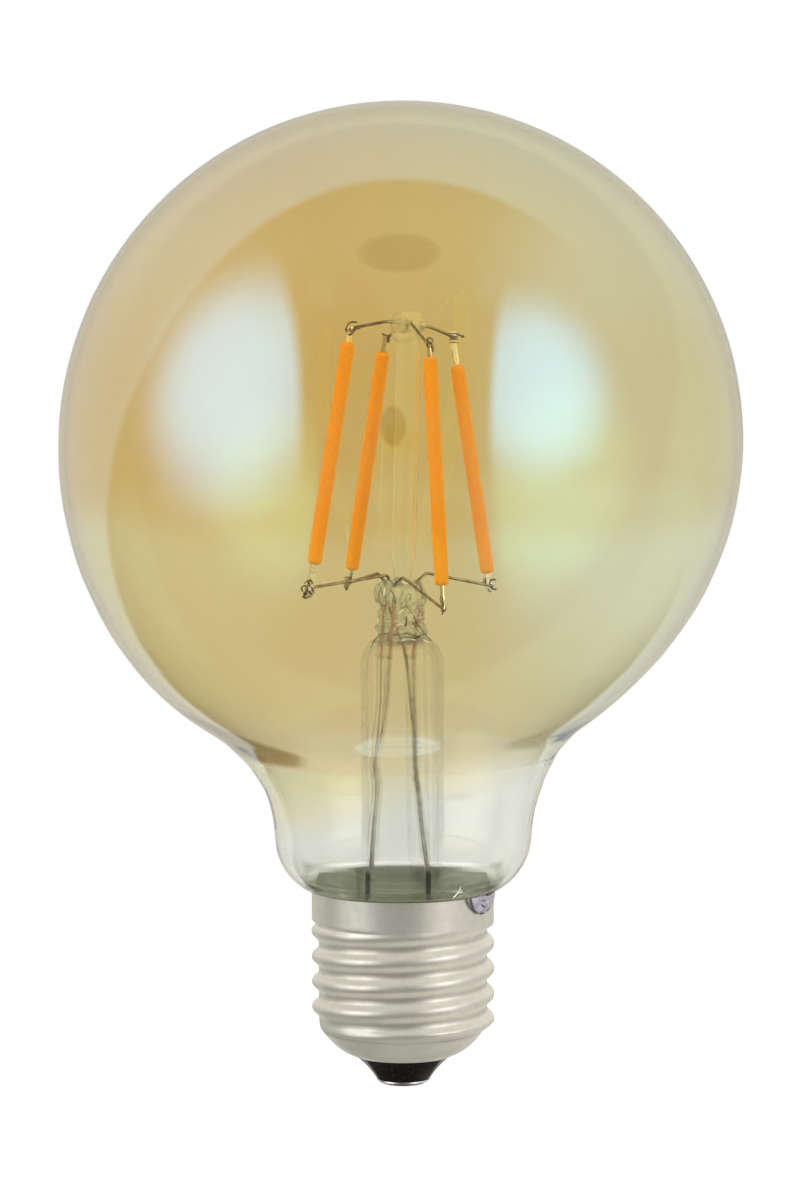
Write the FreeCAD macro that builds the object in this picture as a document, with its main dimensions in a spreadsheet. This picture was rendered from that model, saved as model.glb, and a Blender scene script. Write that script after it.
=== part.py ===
import FreeCAD, Part
import Sketcher
import math
import os

# A globe filament bulb, standing on its centre contact, in millimetres.
# +Z runs up the bulb's axis and Z = 0 is the lowest face of the contact.

doc = FreeCAD.newDocument("GlobeBulb")
V = FreeCAD.Vector

# Driving sizes, by piece. A radius is an outer one. A text is a size that follows from others, and a
# height there is above Z = 0.
SIZES = {
    # screw cap: a thin rolled shell with a knuckle thread
    "cap_height": 27.95,
    "cap_radius": 12.97,
    "cap_wall": 0.3,
    "rim_gap": 0.3,
    "skirt_length": 4.85,
    "thread_crest": 13.08,
    "thread_depth": 1.06,
    "thread_pitch": 3.629,
    "lowest_crest": 9.4,
    "bowl_radius": 8.3,
    "bowl_mouth": 7.05,
    # insulator and centre contact
    "insulator_drop": 2.0,
    "insulator_top": "=lowest_crest - insulator_drop",
    "insulator_hollow": 12.0,
    "contact_radius": 3.8,
    "contact_thickness": 0.75,
    "contact_flat": 2.6,
    "eyelet_radius": 1.2,
    "eyelet_wall": 0.3,
    "eyelet_rise": 0.3,
    # glass globe: a sphere, a hollow shoulder, a short neck and a rounded heel over the cap
    "globe_radius": 48.36,
    "glass_wall": 0.8,
    "shoulder_radius": 19.6,
    "neck_run": 1.421,
    "neck_radius": 18.26,
    "neck_taper": 4.15,
    "heel_radius": 8.67,
    "heel_rise": 7.9,
    "heel_height": "=cap_height + heel_rise",
    "seal_rise": 1.2,
    # glass stem: foot, flare tube, dome and pinch
    "foot_radius": 12.35,
    "foot_wall": 1.0,
    "foot_rise": 1.45,
    "foot_depth": 3.95,
    "foot_top": "=cap_height + foot_rise",
    "foot_bottom": "=cap_height - foot_depth",
    "foot_round": 0.8,
    "flare_radius": 5.9,
    "flare_wall": 0.7,
    "flare_length": 30.9,
    "flare_top": "=foot_top + flare_length",
    "flare_fillet": 1.2,
    "dome_rise": 4.2,
    "dome_wall": 1.0,
    "pinch_length": 12.0,
    "pinch_top": "=flare_top + pinch_length",
    "pinch_width": 6.5,
    "pinch_depth": 4.2,
    # glass support rod and its button, glass exhaust tube
    "rod_length": 36.55,
    "rod_radius": 1.75,
    "rod_foot_radius": 1.25,
    "rod_socket": 1.4,
    "rod_taper_length": 3.5,
    "rod_lean": 1.6,
    "rod_offset": 0.1,
    "button_height": "=pinch_top + rod_length",
    "button_radius": 2.6,
    "button_thickness": 3.1,
    "exhaust_radius": 1.6,
    "exhaust_wall": 0.4,
    "exhaust_gap": 1.4,
    "exhaust_tip": "=foot_bottom + exhaust_gap",
    "exhaust_lean": 1.0,
    "exhaust_right": 1.85,
    "exhaust_back": 1.65,
    # filaments: the rings that their coated ends lie on, and their own sizes
    "lower_ring": 13.7,
    "upper_ring": 8.3,
    "lower_rise": 0.9,
    "lower_height": "=pinch_top + lower_rise",
    "upper_drop": 4.55,
    "upper_height": "=button_height - upper_drop",
    "filament_radius": 1.0,
    "filament_round": 0.6,
    "tab_width": 0.8,
    "tab_thickness": 0.2,
    # wires: their radii, how tightly they bend and where the lead wires are welded on
    "support_wire": 0.21,
    "seal_wire": 0.2,
    "lead_wire": 0.17,
    "weld_bead": 0.36,
    "upper_bend": 0.6,
    "lower_bend": 0.9,
    "seal_bend": 2.0,
    "lead_bend": 6.0,
    "side_lead_bend": 0.2,
    "weld_rise": 1.1,
    "weld_height": "=flare_top + weld_rise",
    "pinch_hold": 2.2,
    "seal_drop": 0.8,
    "sleeve_radius": 0.45,
    "sleeve_rise": 0.4,
    "sleeve_top": "=foot_top + sleeve_rise",
    # driver and joints inside the cap
    "board_radius": 11.65,
    "board_thickness": 1.6,
    "capacitor_radius": 3.15,
    "capacitor_length": 9.0,
    "capacitor_left": 5.2,
    "capacitor_back": 3.0,
    "rectifier_length": 4.8,
    "rectifier_width": 4.0,
    "rectifier_thickness": 1.5,
    "resistor_radius": 1.3,
    "resistor_length": 6.5,
    "resistor_lead": 0.3,
    "resistor_top_gap": 3.4,
    "solder_width": 7.2,
    "solder_height": 2.8,
    "solder_thickness": 0.3,
    "solder_angle": -28.0,
    "side_lead": 0.1,
    "cement_length": 3.3,
    "cement_gap": 0.3,
    "fit": 0.03,
}

sheet = doc.addObject("Spreadsheet::Sheet", "Sizes")
for row, (alias, value) in enumerate(SIZES.items(), 1):
    sheet.set(f"A{row}", alias)
    sheet.set(f"B{row}", str(value))
    sheet.setAlias(f"B{row}", alias)
doc.recompute()

parts = []


def size(text):
    """The value of an expression over the sheet's cells, such as 'Sizes.cap_height'."""
    return float(sheet.evalExpression(text.replace("Sizes.", "")))


def keep(thing, label):
    """Labels a finished sub-part and puts it in the list that is written."""
    thing.Label = label
    parts.append(thing)
    return thing


def feature(label, shape):
    """A sub-part whose shape is worked out by code from the sheet's sizes."""
    thing = doc.addObject("Part::Feature", label)
    thing.Shape = shape
    thing.Placement = FreeCAD.Placement()
    return keep(thing, label)


# Sketch helpers

def mark(sketch, edge, point):
    """Which end of a sketch edge lies at a point: 1 for its start, 2 for its end."""
    return min((1, 2), key=lambda end: sketch.getPoint(edge, end).distanceToPoint(point))


def constrain(sketch, text, *what):
    """Adds a dimension and binds it to an expression."""
    value = math.radians(size(text)) if what[0] == "Angle" else size(text)
    at = sketch.addConstraint(Sketcher.Constraint(*what, value))
    sketch.setExpression(f"Constraints[{at}]", text)


def bind_point(sketch, edge, end, radius, height):
    """Ties an end of an edge to a radius and a height, given as expressions."""
    for kind, axis, text in (("DistanceX", -2, radius), ("DistanceY", -1, height)):
        if abs(size(text)) < 1e-9:
            sketch.addConstraint(Sketcher.Constraint("PointOnObject", edge, end, axis))
        else:
            constrain(sketch, text, kind, -1, 1, edge, end)


def outline(sketch, corners):
    """Draws a closed outline through corners (radius, height). A third value is the radius of the arc
    that leads to that corner, with a minus where the arc bulges to the left of the way there."""
    points = [V(size(corner[0]), size(corner[1]), 0) for corner in corners]
    for i, corner in enumerate(corners):
        start, end = points[i - 1], points[i]
        if len(corner) == 2:
            sketch.addGeometry(Part.LineSegment(start, end), False)
            continue
        bend = size(corner[2])
        half = (end - start) * 0.5
        side = V(half.y, -half.x, 0).normalize() * math.copysign(1, bend)
        sagitta = abs(bend) - math.sqrt(bend * bend - half.Length**2)
        arc = Part.Arc(start, start + half + side * sagitta, end)
        sketch.addGeometry(arc, False)
    for i, corner in enumerate(corners):
        following = (i + 1) % len(corners)
        end = mark(sketch, i, points[i])
        start = mark(sketch, following, points[i])
        sketch.addConstraint(Sketcher.Constraint("Coincident", i, end, following, start))
        bind_point(sketch, i, end, corner[0], corner[1])
        if len(corner) == 3:
            constrain(sketch, corner[2].lstrip("-"), "Radius", i)


def body_with_sketch(label):
    """A body with an empty sketch on its XZ plane, where X is the radius and Y is the height."""
    body = doc.addObject("PartDesign::Body", label)
    sketch = body.newObject("Sketcher::SketchObject", label + "_outline")
    planes = body.Origin.OriginFeatures
    sketch.AttachmentSupport = (next(p for p in planes if p.Role == "XZ_Plane"), [""])
    sketch.MapMode = "FlatFace"
    return body, sketch


def turn(body, sketch, label):
    """Revolves the sketch about the body's Z axis."""
    turned = body.newObject("PartDesign::Revolution", label + "_turn")
    turned.Profile = (sketch, [""])
    turned.ReferenceAxis = (sketch, ["V_Axis"])
    turned.Angle = 360


def turned_body(label, corners):
    body, sketch = body_with_sketch(label)
    outline(sketch, corners)
    turn(body, sketch, label)
    return body


# Glass globe: sphere, shoulder, neck and heel run into each other tangentially, inside as outside

def glass_line(wall):
    """The centres and tangent points of the globe's line at a depth of wall under its outer face. It is
    worked out from the cap upwards: the neck carries the shoulder, and the shoulder carries the ball."""
    lean = math.radians(size("Sizes.neck_taper"))
    outward = V(math.cos(lean), -math.sin(lean), 0)
    along = V(math.sin(lean), math.cos(lean), 0)
    heel = V(size("Sizes.neck_radius - Sizes.heel_radius"), size("Sizes.heel_height"), 0)
    shoulder_radius = size("Sizes.shoulder_radius")
    run_out = size("Sizes.heel_radius") + shoulder_radius
    shoulder = heel + outward * run_out + along * size("Sizes.neck_run")
    reach = size("Sizes.globe_radius") + shoulder_radius
    ball = V(0, shoulder.y + math.sqrt(reach**2 - shoulder.x**2), 0)
    to_ball = (ball - shoulder).normalize()
    return {
        "ball": ball,
        "shoulder": shoulder,
        "heel": heel,
        "top": ball + V(0, size("Sizes.globe_radius") - wall, 0),
        "ball_end": shoulder + to_ball * (shoulder_radius + wall),
        "neck_top": shoulder - outward * (shoulder_radius + wall),
        "neck_end": heel + outward * (size("Sizes.heel_radius") - wall),
    }


def on_heel(line, wall, height):
    """The point of the heel's arc at a height."""
    radius = size("Sizes.heel_radius") - wall
    drop = line["heel"].y - height
    return V(line["heel"].x + math.sqrt(radius**2 - drop**2), height, 0)


def arc_about(centre, start, end):
    """The shorter arc about a centre from start to end."""
    middle = (start + end) * 0.5 - centre
    return Part.Arc(start, centre + middle.normalize() * (start - centre).Length, end)


def glass_globe():
    body, sketch = body_with_sketch("glass_globe")
    wall = size("Sizes.glass_wall")
    mouth = size("Sizes.cap_height + Sizes.rim_gap")
    seal_top = size("Sizes.cap_height + Sizes.rim_gap + Sizes.seal_rise")
    bore = size("Sizes.foot_radius + Sizes.fit")
    outer, inner = glass_line(0), glass_line(wall)
    lip, land = on_heel(outer, 0, mouth), on_heel(inner, wall, seal_top)
    side = V(size("Sizes.globe_radius"), 0, 0)
    edges = [
        Part.Arc(outer["top"], outer["ball"] + side, outer["ball_end"]),
        arc_about(outer["shoulder"], outer["ball_end"], outer["neck_top"]),
        Part.LineSegment(outer["neck_top"], outer["neck_end"]),
        arc_about(outer["heel"], outer["neck_end"], lip),
        Part.LineSegment(lip, V(bore, mouth, 0)),
        Part.LineSegment(V(bore, mouth, 0), V(bore, seal_top, 0)),
        Part.LineSegment(V(bore, seal_top, 0), land),
        arc_about(inner["heel"], land, inner["neck_end"]),
        Part.LineSegment(inner["neck_end"], inner["neck_top"]),
        arc_about(inner["shoulder"], inner["neck_top"], inner["ball_end"]),
        Part.Arc(inner["ball_end"], inner["ball"] + side - V(wall, 0, 0), inner["top"]),
        Part.LineSegment(inner["top"], outer["top"]),
    ]
    joints = [
        outer["ball_end"], outer["neck_top"], outer["neck_end"], lip, V(bore, mouth, 0),
        V(bore, seal_top, 0), land, inner["neck_end"], inner["neck_top"], inner["ball_end"],
        inner["top"], outer["top"],
    ]
    smooth = (0, 1, 2, 7, 8, 9)
    for edge in edges:
        sketch.addGeometry(edge, False)
    for i, joint in enumerate(joints):
        following = (i + 1) % len(edges)
        kind = "Tangent" if i in smooth else "Coincident"
        marks = mark(sketch, i, joint), mark(sketch, following, joint)
        sketch.addConstraint(Sketcher.Constraint(kind, i, marks[0], following, marks[1]))
    sketch.addConstraint(Sketcher.Constraint("PointOnObject", 0, 3, -2))
    sketch.addConstraint(Sketcher.Constraint("Vertical", 11))
    sketch.addConstraint(Sketcher.Constraint("PointOnObject", 0, mark(sketch, 0, outer["top"]), -2))
    constrain(sketch, "Sizes.globe_radius", "Radius", 0)
    constrain(sketch, "Sizes.shoulder_radius", "Radius", 1)
    constrain(sketch, "Sizes.heel_radius", "Radius", 3)
    constrain(sketch, "Sizes.neck_radius - Sizes.heel_radius", "DistanceX", -1, 1, 3, 3)
    constrain(sketch, "Sizes.heel_height", "DistanceY", -1, 1, 3, 3)
    neck_low = mark(sketch, 2, outer["neck_end"])
    constrain(sketch, "90 - Sizes.neck_taper", "Angle", -1, 1, 2, neck_low)
    constrain(sketch, "Sizes.neck_run", "Distance", 2)
    for first, second in ((0, 10), (1, 9), (3, 7)):
        sketch.addConstraint(Sketcher.Constraint("Coincident", first, 3, second, 3))
    constrain(sketch, "Sizes.globe_radius - Sizes.glass_wall", "Radius", 10)
    constrain(sketch, "Sizes.heel_radius - Sizes.glass_wall", "Radius", 7)
    sketch.addConstraint(Sketcher.Constraint("Horizontal", 4))
    sketch.addConstraint(Sketcher.Constraint("Vertical", 5))
    sketch.addConstraint(Sketcher.Constraint("Horizontal", 6))
    bore_low = mark(sketch, 4, V(bore, mouth, 0))
    bind_point(sketch, 4, bore_low, "Sizes.foot_radius + Sizes.fit", "Sizes.cap_height + Sizes.rim_gap")
    constrain(sketch, "Sizes.seal_rise", "Distance", 5)
    turn(body, sketch, "glass_globe")
    keep(body, "glass_globe")


glass_globe()


# Wires: straight runs joined by tangent arcs

def wire_path(points, bend):
    """A path through points, each inner one rounded by an arc of radius bend, or less if it is short."""
    edges = []
    here = points[0]
    for before, corner, after in zip(points, points[1:], points[2:]):
        come, leave = (corner - before).normalize(), (after - corner).normalize()
        half_turn = come.getAngle(leave) / 2
        room = 0.45 * min((corner - before).Length, (after - corner).Length)
        cut = min(bend * math.tan(half_turn), room)
        radius = cut / math.tan(half_turn)
        start, end = corner - come * cut, corner + leave * cut
        inward = (leave - come).normalize()
        middle = corner + inward * (radius / math.cos(half_turn) - radius)
        edges += [Part.LineSegment(here, start).toShape(), Part.Arc(start, middle, end).toShape()]
        here = end
    edges.append(Part.LineSegment(here, points[-1]).toShape())
    return Part.Wire(edges)


def wire(points, radius, bend):
    """A round wire along the path."""
    path = wire_path(points, bend)
    ring = Part.Wire(Part.makeCircle(radius, points[0], points[1] - points[0]))
    swept = path.makePipeShell([ring], True, False)
    expected = math.pi * radius**2 * path.Length
    if abs(swept.Volume - expected) > 0.02 * expected:
        raise ValueError(f"a wire's volume is {swept.Volume:.3f}, not {expected:.3f}")
    return swept


def polar(radius, angle, height):
    return V(radius * math.cos(math.radians(angle)), radius * math.sin(math.radians(angle)), height)


# Glass support rod: where it stands and leans

rod_socket_height = size("Sizes.pinch_top - Sizes.rod_socket")
rod_lean = FreeCAD.Rotation(V(0, 1, 0), size("Sizes.rod_lean"))
rod_foot = V(size("Sizes.rod_offset"), 0, rod_socket_height)


def on_rod(point):
    """Moves a point that is given beside an upright rod to where it lies beside the leaning one."""
    return rod_foot + rod_lean.multVec(point - V(0, 0, rod_socket_height))


# Where the support wires run before their last straight stretch: from inside the glass to a bend.
# Upper points are given from the middle of the button, lower ones from the middle of the pinch's top.

BUTTON_EXITS = (
    (V(-0.9, -0.35, -0.1), V(-3.2, -1.3, 0.05)),
    (V(-0.2, 1.0, -0.3), V(-0.8, 3.2, -0.5)),
    (V(0.25, -1.2, 0.0), V(0.35, -2.95, -0.1)),
    (V(1.0, 0.4, -0.35), V(3.2, 1.25, -0.75)),
)
PINCH_EXITS = (
    (V(-1.75, 0.5, -0.4), V(-1.95, 0.35, 0.65)),
    (V(-2.25, -0.4, -0.4), V(-3.4, 0.9, 0.85)),
    (V(-0.95, -1.25, -0.4), V(0.1, -2.3, 0.6)),
    (V(2.05, 0.35, -0.4), V(3.5, 1.2, 0.85)),
)
button_middle = V(0, 0, size("Sizes.button_height"))
pinch_middle = V(0, 0, size("Sizes.pinch_top"))


# Filaments: four straight rods, leaning in towards the top, as they were welded by hand.
# The first three numbers of an end are its direction in degrees and how far it is outside and above
# the ring that the filaments share. The last one is the length of its tab up to the wire.

FILAMENTS = (
    {"lower": (203.7, -0.25, 1.87, 3.4), "upper": (203.8, -0.22, 1.95, 1.9)},
    {"lower": (120.0, 0.7, -0.63, 1.8), "upper": (108.8, -0.35, -0.12, 2.1)},
    {"lower": (-65.9, -0.03, -0.48, 3.0), "upper": (-62.0, 0.23, -0.05, 2.1)},
    {"lower": (23.8, -0.3, -0.53, 1.8), "upper": (22.3, 0.28, -1.83, 4.1)},
)


class Filament:
    """Where one filament, its two metal tabs and the wires at its ends lie."""

    def __init__(self, number, own):
        self.number = number
        angle, out, up, low_tab = own["lower"]
        self.low = polar(size("Sizes.lower_ring") + out, angle, size("Sizes.lower_height") + up)
        angle, out, up, high_tab = own["upper"]
        self.high = polar(size("Sizes.upper_ring") + out, angle, size("Sizes.upper_height") + up)
        self.axis = (self.high - self.low).normalize()
        self.tabs = {"lower": low_tab, "upper": high_tab}
        self.bends = {
            "lower": pinch_middle + PINCH_EXITS[number - 1][1],
            "upper": on_rod(button_middle + BUTTON_EXITS[number - 1][1]),
        }

    def tab_end(self, end):
        if end == "upper":
            return self.high + self.axis * self.tabs[end]
        return self.low - self.axis * self.tabs[end]

    def tab_frame(self, end):
        """The tab's width direction, which follows its wire, and the direction of its thickness."""
        along = self.tab_end(end) - self.bends[end]
        across = self.axis.cross(along).normalize()
        return across.cross(self.axis), across

    def weld(self, end):
        """The middle of the wire where it lies against the tab's flat side."""
        beside = size("0.5 * Sizes.tab_thickness + Sizes.support_wire + 2 * Sizes.fit")
        return self.tab_end(end) - self.tab_frame(end)[1] * beside

    def rod(self):
        """The coated strip of light sources: a rod with rounded ends, made upright and then placed."""
        label = f"filament_{self.number}"
        body = doc.addObject("PartDesign::Body", label)
        sketch = body.newObject("Sketcher::SketchObject", label + "_section")
        planes = body.Origin.OriginFeatures
        sketch.AttachmentSupport = (next(p for p in planes if p.Role == "XY_Plane"), [""])
        sketch.MapMode = "FlatFace"
        sketch.addGeometry(Part.Circle(V(0, 0, 0), V(0, 0, 1), size("Sizes.filament_radius")), False)
        sketch.addConstraint(Sketcher.Constraint("Coincident", 0, 3, -1, 1))
        constrain(sketch, "Sizes.filament_radius", "Radius", 0)
        pad = body.newObject("PartDesign::Pad", label + "_length")
        pad.Profile = (sketch, [""])
        pad.Length = (self.high - self.low).Length
        doc.recompute()
        rims = [f"Edge{i}" for i, edge in enumerate(pad.Shape.Edges, 1) if edge.Closed]
        rounds = body.newObject("PartDesign::Fillet", label + "_rounds")
        rounds.Base = (pad, rims)
        rounds.setExpression("Radius", "Sizes.filament_round")
        body.Placement = FreeCAD.Placement(self.low, FreeCAD.Rotation(V(0, 0, 1), self.axis))
        keep(body, label)

    def tab(self, end):
        """A flat metal tab, flush on the rod's end, that runs a little past its wire."""
        label = f"{end}_tab_{self.number}"
        along, across = self.tab_frame(end)
        length = self.tabs[end] + size("1.6 * Sizes.support_wire")
        start = self.high if end == "upper" else self.low - self.axis * length
        strip = doc.addObject("Part::Box", label)
        strip.setExpression("Length", "Sizes.tab_width")
        strip.setExpression("Width", "Sizes.tab_thickness")
        strip.Height = length
        half_width = along * size("0.5 * Sizes.tab_width")
        half_thickness = across * size("0.5 * Sizes.tab_thickness")
        turned = FreeCAD.Rotation(along, across, self.axis, "ZXY")
        strip.Placement = FreeCAD.Placement(start - half_width - half_thickness, turned)
        keep(strip, label)


filaments = [Filament(number, own) for number, own in enumerate(FILAMENTS, 1)]
for filament in filaments:
    filament.rod()
    filament.tab("upper")
    filament.tab("lower")


def support_rod():
    """The rod is drawn thinner at its foot, and its top is melted into a round button."""
    foot = "Sizes.pinch_top - Sizes.rod_socket"
    under = "Sizes.button_height - 0.5 * Sizes.button_thickness"
    top = "Sizes.button_height + 0.5 * Sizes.button_thickness"
    body = turned_body("rod_glass", [
        ("0", foot),
        ("Sizes.rod_foot_radius", foot),
        ("Sizes.rod_foot_radius", "Sizes.pinch_top + 0.2 * Sizes.rod_taper_length"),
        ("Sizes.rod_radius", "Sizes.pinch_top + Sizes.rod_taper_length"),
        ("Sizes.rod_radius", under),
        ("Sizes.button_radius", "Sizes.button_height", "0.62 * Sizes.button_thickness"),
        ("0.45 * Sizes.button_radius", top, "0.75 * Sizes.button_thickness"),
        ("0", top),
    ])
    body.Placement = FreeCAD.Placement(rod_foot - rod_lean.multVec(V(0, 0, rod_socket_height)), rod_lean)
    return body


# Support wires: the upper four are held by the button, the lower four by the pinch

def with_weld(points, filament, end):
    """Ends a wire a little past the weld on the filament's tab."""
    weld = filament.weld(end)
    past = (weld - points[-1]).normalize() * size("2 * Sizes.support_wire")
    return points + [weld + past]


def upper_wire_points(filament):
    """From inside the button to the filament's upper tab."""
    inner = on_rod(button_middle + BUTTON_EXITS[filament.number - 1][0])
    return with_weld([inner, filament.bends["upper"]], filament, "upper")


def lower_wire_points(filament):
    """From inside the pinch, up over a bend and out to the filament's lower tab."""
    leave = pinch_middle + PINCH_EXITS[filament.number - 1][0]
    held = leave - V(0, 0, size("Sizes.pinch_hold"))
    return with_weld([held, leave, filament.bends["lower"]], filament, "lower")


for filament in filaments:
    upper = wire(upper_wire_points(filament), size("Sizes.support_wire"), size("Sizes.upper_bend"))
    lower = wire(lower_wire_points(filament), size("Sizes.support_wire"), size("Sizes.lower_bend"))
    feature(f"upper_support_wire_{filament.number}", upper)
    feature(f"lower_support_wire_{filament.number}", lower)


# Seal wires: each goes on from a lower support wire, down through the pinch to its weld in the flare

WELDS = {1: (0.6, -0.2), 2: (-2.95, -0.6), 3: (-1.75, -1.2), 4: (1.6, -1.0)}
welds = {number: V(x, y, size("Sizes.weld_height")) for number, (x, y) in WELDS.items()}
seal_wires = {}
for filament in filaments:
    start = lower_wire_points(filament)[0]
    points = [start, start - V(0, 0, size("Sizes.seal_drop")), welds[filament.number]]
    seal_wire = wire(points, size("Sizes.seal_wire"), size("Sizes.seal_bend"))
    seal_wires[filament.number] = seal_wire
    feature(f"seal_wire_{filament.number}", seal_wire)


# Lead wires: two thin strands run down each side of the flare and meet half way.
# Each passes through points along its route, from its weld to the driver board. A point says how far
# right and back it is, and its height as a share of the way up from the stem's foot to the weld.

board_top = size("Sizes.foot_bottom")
LEADS = {
    2: [(-3.05, -0.8, 0.806), (-3.62, -1.0, 0.609), (-4.1, -1.1, 0.544), (-3.68, -1.2, 0.484),
        (-3.8, -1.2, 0.394), (-4.25, -1.1, 0.253), (-4.6, -1.0, 0.075)],
    3: [(-2.1, -1.3, 0.831), (-2.6, -1.5, 0.694), (-3.5, -1.35, 0.600), (-3.75, -1.42, 0.544),
        (-3.36, -1.52, 0.484), (-3.48, -1.52, 0.394), (-3.93, -1.42, 0.253), (-4.25, -1.3, 0.075)],
    4: [(1.7, -1.2, 0.816), (1.95, -1.4, 0.644), (1.9, -1.45, 0.556), (2.25, -1.5, 0.441),
        (2.75, -1.5, 0.284), (3.3, -1.4, 0.144), (3.62, -1.35, 0.075)],
    1: [(1.15, -0.9, 0.816), (1.62, -1.25, 0.644), (1.56, -1.3, 0.556), (1.9, -1.35, 0.441),
        (2.38, -1.4, 0.284), (2.95, -1.1, 0.144), (3.3, -1.05, 0.075)],
}
SLEEVES = {"left": ((2, 3), (-4.45, -1.15)), "right": ((4, 1), (3.45, -1.2))}


def lead_points(number):
    """From the weld under the pinch, along the route and straight down its sleeve to the board."""
    low, high = size("Sizes.foot_top"), size("Sizes.weld_height")
    points = [welds[number]] + [V(x, y, low + share * (high - low)) for x, y, share in LEADS[number]]
    last = points[-1]
    return points + [V(last.x, last.y, board_top)]


lead_wires = {}
for number in LEADS:
    strand = wire(lead_points(number), size("Sizes.lead_wire"), size("Sizes.lead_bend"))
    bead = Part.makeSphere(size("Sizes.weld_bead"), welds[number])
    strand = strand.fuse(bead).cut(seal_wires[number]).removeSplitter()
    lead_wires[number] = strand
    feature(f"lead_wire_{number}", strand)

for side, (numbers, (x, y)) in SLEEVES.items():
    height = size("Sizes.sleeve_top") - board_top
    sleeve = Part.makeCylinder(size("Sizes.sleeve_radius"), height, V(x, y, board_top))
    for number in numbers:
        sleeve = sleeve.cut(lead_wires[number])
    feature(f"lead_sleeve_{side}", sleeve)


# Glass stem: the foot, flare tube and dome are turned, the pinch is pressed, and wires run through it

# Each ring of the pinch: how far up it is, and its width and depth, as shares of the whole
PINCH_RINGS = ((0, 0.92, 1.3), (0.25, 0.87, 0.98), (0.6, 1.0, 1.0), (0.88, 0.98, 1.0), (1, 0.74, 0.8))


def pinch():
    """The pressed glass on top of the dome, lofted through ellipses."""
    half_width, half_depth = "0.5 * Sizes.pinch_width", "0.5 * Sizes.pinch_depth"
    base = "(Sizes.flare_top + 0.7 * Sizes.dome_rise)"
    rise = f"(Sizes.pinch_top - {base})"
    rings = []
    for step, wide, deep in PINCH_RINGS:
        ring = doc.addObject("Part::Ellipse", f"pinch_ring_{len(rings)}")
        ring.setExpression("MajorRadius", f"{half_width} * {wide}")
        ring.setExpression("MinorRadius", f"{half_depth} * {deep}")
        ring.setExpression("Placement.Base.z", f"{base} + {rise} * {step}")
        rings.append(ring)
    loft = doc.addObject("Part::Loft", "pinch")
    loft.Sections = rings
    loft.Solid = True
    return loft


def stem():
    dome = "(Sizes.flare_radius^2 + Sizes.dome_rise^2) / (2 * Sizes.flare_radius)"
    bore = "(Sizes.flare_radius - Sizes.flare_wall)"
    inner_rise = "(Sizes.dome_rise - Sizes.dome_wall)"
    inner_dome = f"({bore}^2 + {inner_rise}^2) / (2 * {bore})"
    foot_bore = "Sizes.foot_radius - Sizes.foot_wall"
    fillet = "Sizes.flare_fillet"
    turned = turned_body("flare", [
        ("Sizes.foot_radius", "Sizes.foot_bottom"),
        ("Sizes.foot_radius", "Sizes.foot_top - Sizes.foot_round"),
        ("Sizes.foot_radius - Sizes.foot_round", "Sizes.foot_top", "Sizes.foot_round"),
        (f"Sizes.flare_radius + {fillet}", "Sizes.foot_top"),
        ("Sizes.flare_radius", f"Sizes.foot_top + {fillet}", f"-{fillet}"),
        ("Sizes.flare_radius", "Sizes.flare_top"),
        ("0", "Sizes.flare_top + Sizes.dome_rise", dome),
        ("0", f"Sizes.flare_top + {inner_rise}"),
        (bore, "Sizes.flare_top", f"-{inner_dome}"),
        (bore, "Sizes.foot_top - Sizes.foot_wall"),
        (foot_bore, "Sizes.foot_top - Sizes.foot_wall"),
        (foot_bore, "Sizes.foot_bottom"),
    ])
    joined = doc.addObject("Part::Fuse", "stem_glass")
    joined.Base = turned
    joined.Tool = pinch()
    joined.Refine = True
    return joined


def exhaust_tube():
    """The tube that the bulb was pumped out through: sealed at its lower end, open under the dome."""
    radius, bore = "Sizes.exhaust_radius", "(Sizes.exhaust_radius - Sizes.exhaust_wall)"
    tip, top = "Sizes.exhaust_tip", "Sizes.flare_top + 0.85 * Sizes.dome_rise"
    body = turned_body("exhaust_tube", [
        ("0", tip),
        (f"0.2 * {radius}", tip),
        (radius, f"{tip} + 1.4 * {radius}", f"1.5 * {radius}"),
        (radius, top),
        (bore, top),
        (bore, f"{tip} + 1.6 * {radius}"),
        (f"0.2 * {radius}", f"{tip} + 0.5 * {radius}", f"-1.5 * {radius}"),
        ("0", f"{tip} + 0.5 * {radius}"),
    ])
    lean = FreeCAD.Rotation(V(0, 1, 0), -size("Sizes.exhaust_lean"))
    joint = V(size("Sizes.exhaust_right"), size("Sizes.exhaust_back"), size(top))
    body.Placement = FreeCAD.Placement(joint - lean.multVec(V(0, 0, joint.z)), lean)
    return keep(body, "exhaust_tube")


def cut_for(label, glass, held):
    """A glass piece with the seats of the pieces that were sealed into it."""
    inserts = doc.addObject("Part::Compound", label + "_inserts")
    inserts.Links = held
    seat = doc.addObject("Part::Cut", label)
    seat.Base = glass
    seat.Tool = inserts
    return keep(seat, label)


def named(label):
    return next(part for part in parts if part.Label == label)


numbers = range(1, len(FILAMENTS) + 1)
rod = cut_for("support_rod", support_rod(), [named(f"upper_support_wire_{n}") for n in numbers])
held = [named(f"{kind}_wire_{n}") for kind in ("lower_support", "seal") for n in numbers]
cut_for("stem_flare", stem(), held + [exhaust_tube(), rod])


# Screw cap: a thin shell, rolled from its skirt to its mouth, with the same thread inside and out

ROWS_A_PITCH = 12
BOWL_ROWS = 14
POINTS_AROUND = 36


def smooth_step(share):
    share = min(max(share, 0.0), 1.0)
    return share * share * (3 - 2 * share)


def knuckle(pitches, depth, pitch, inset):
    """Height of the rolled thread over its root at so many pitches from a crest. Crest and root are
    tangent arcs of one radius on the outer face, and inset turns them into those of the inner face."""
    quarter = pitch / 4
    bend = (quarter**2 + (depth / 2) ** 2) / depth
    crest_bend, root_bend = bend - inset, bend + inset
    away = min(abs(pitches), 0.5) * pitch
    if away <= crest_bend * quarter / bend:
        return depth - bend + math.sqrt(crest_bend**2 - away**2)
    return bend - math.sqrt(root_bend**2 - (pitch / 2 - away) ** 2)


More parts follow.
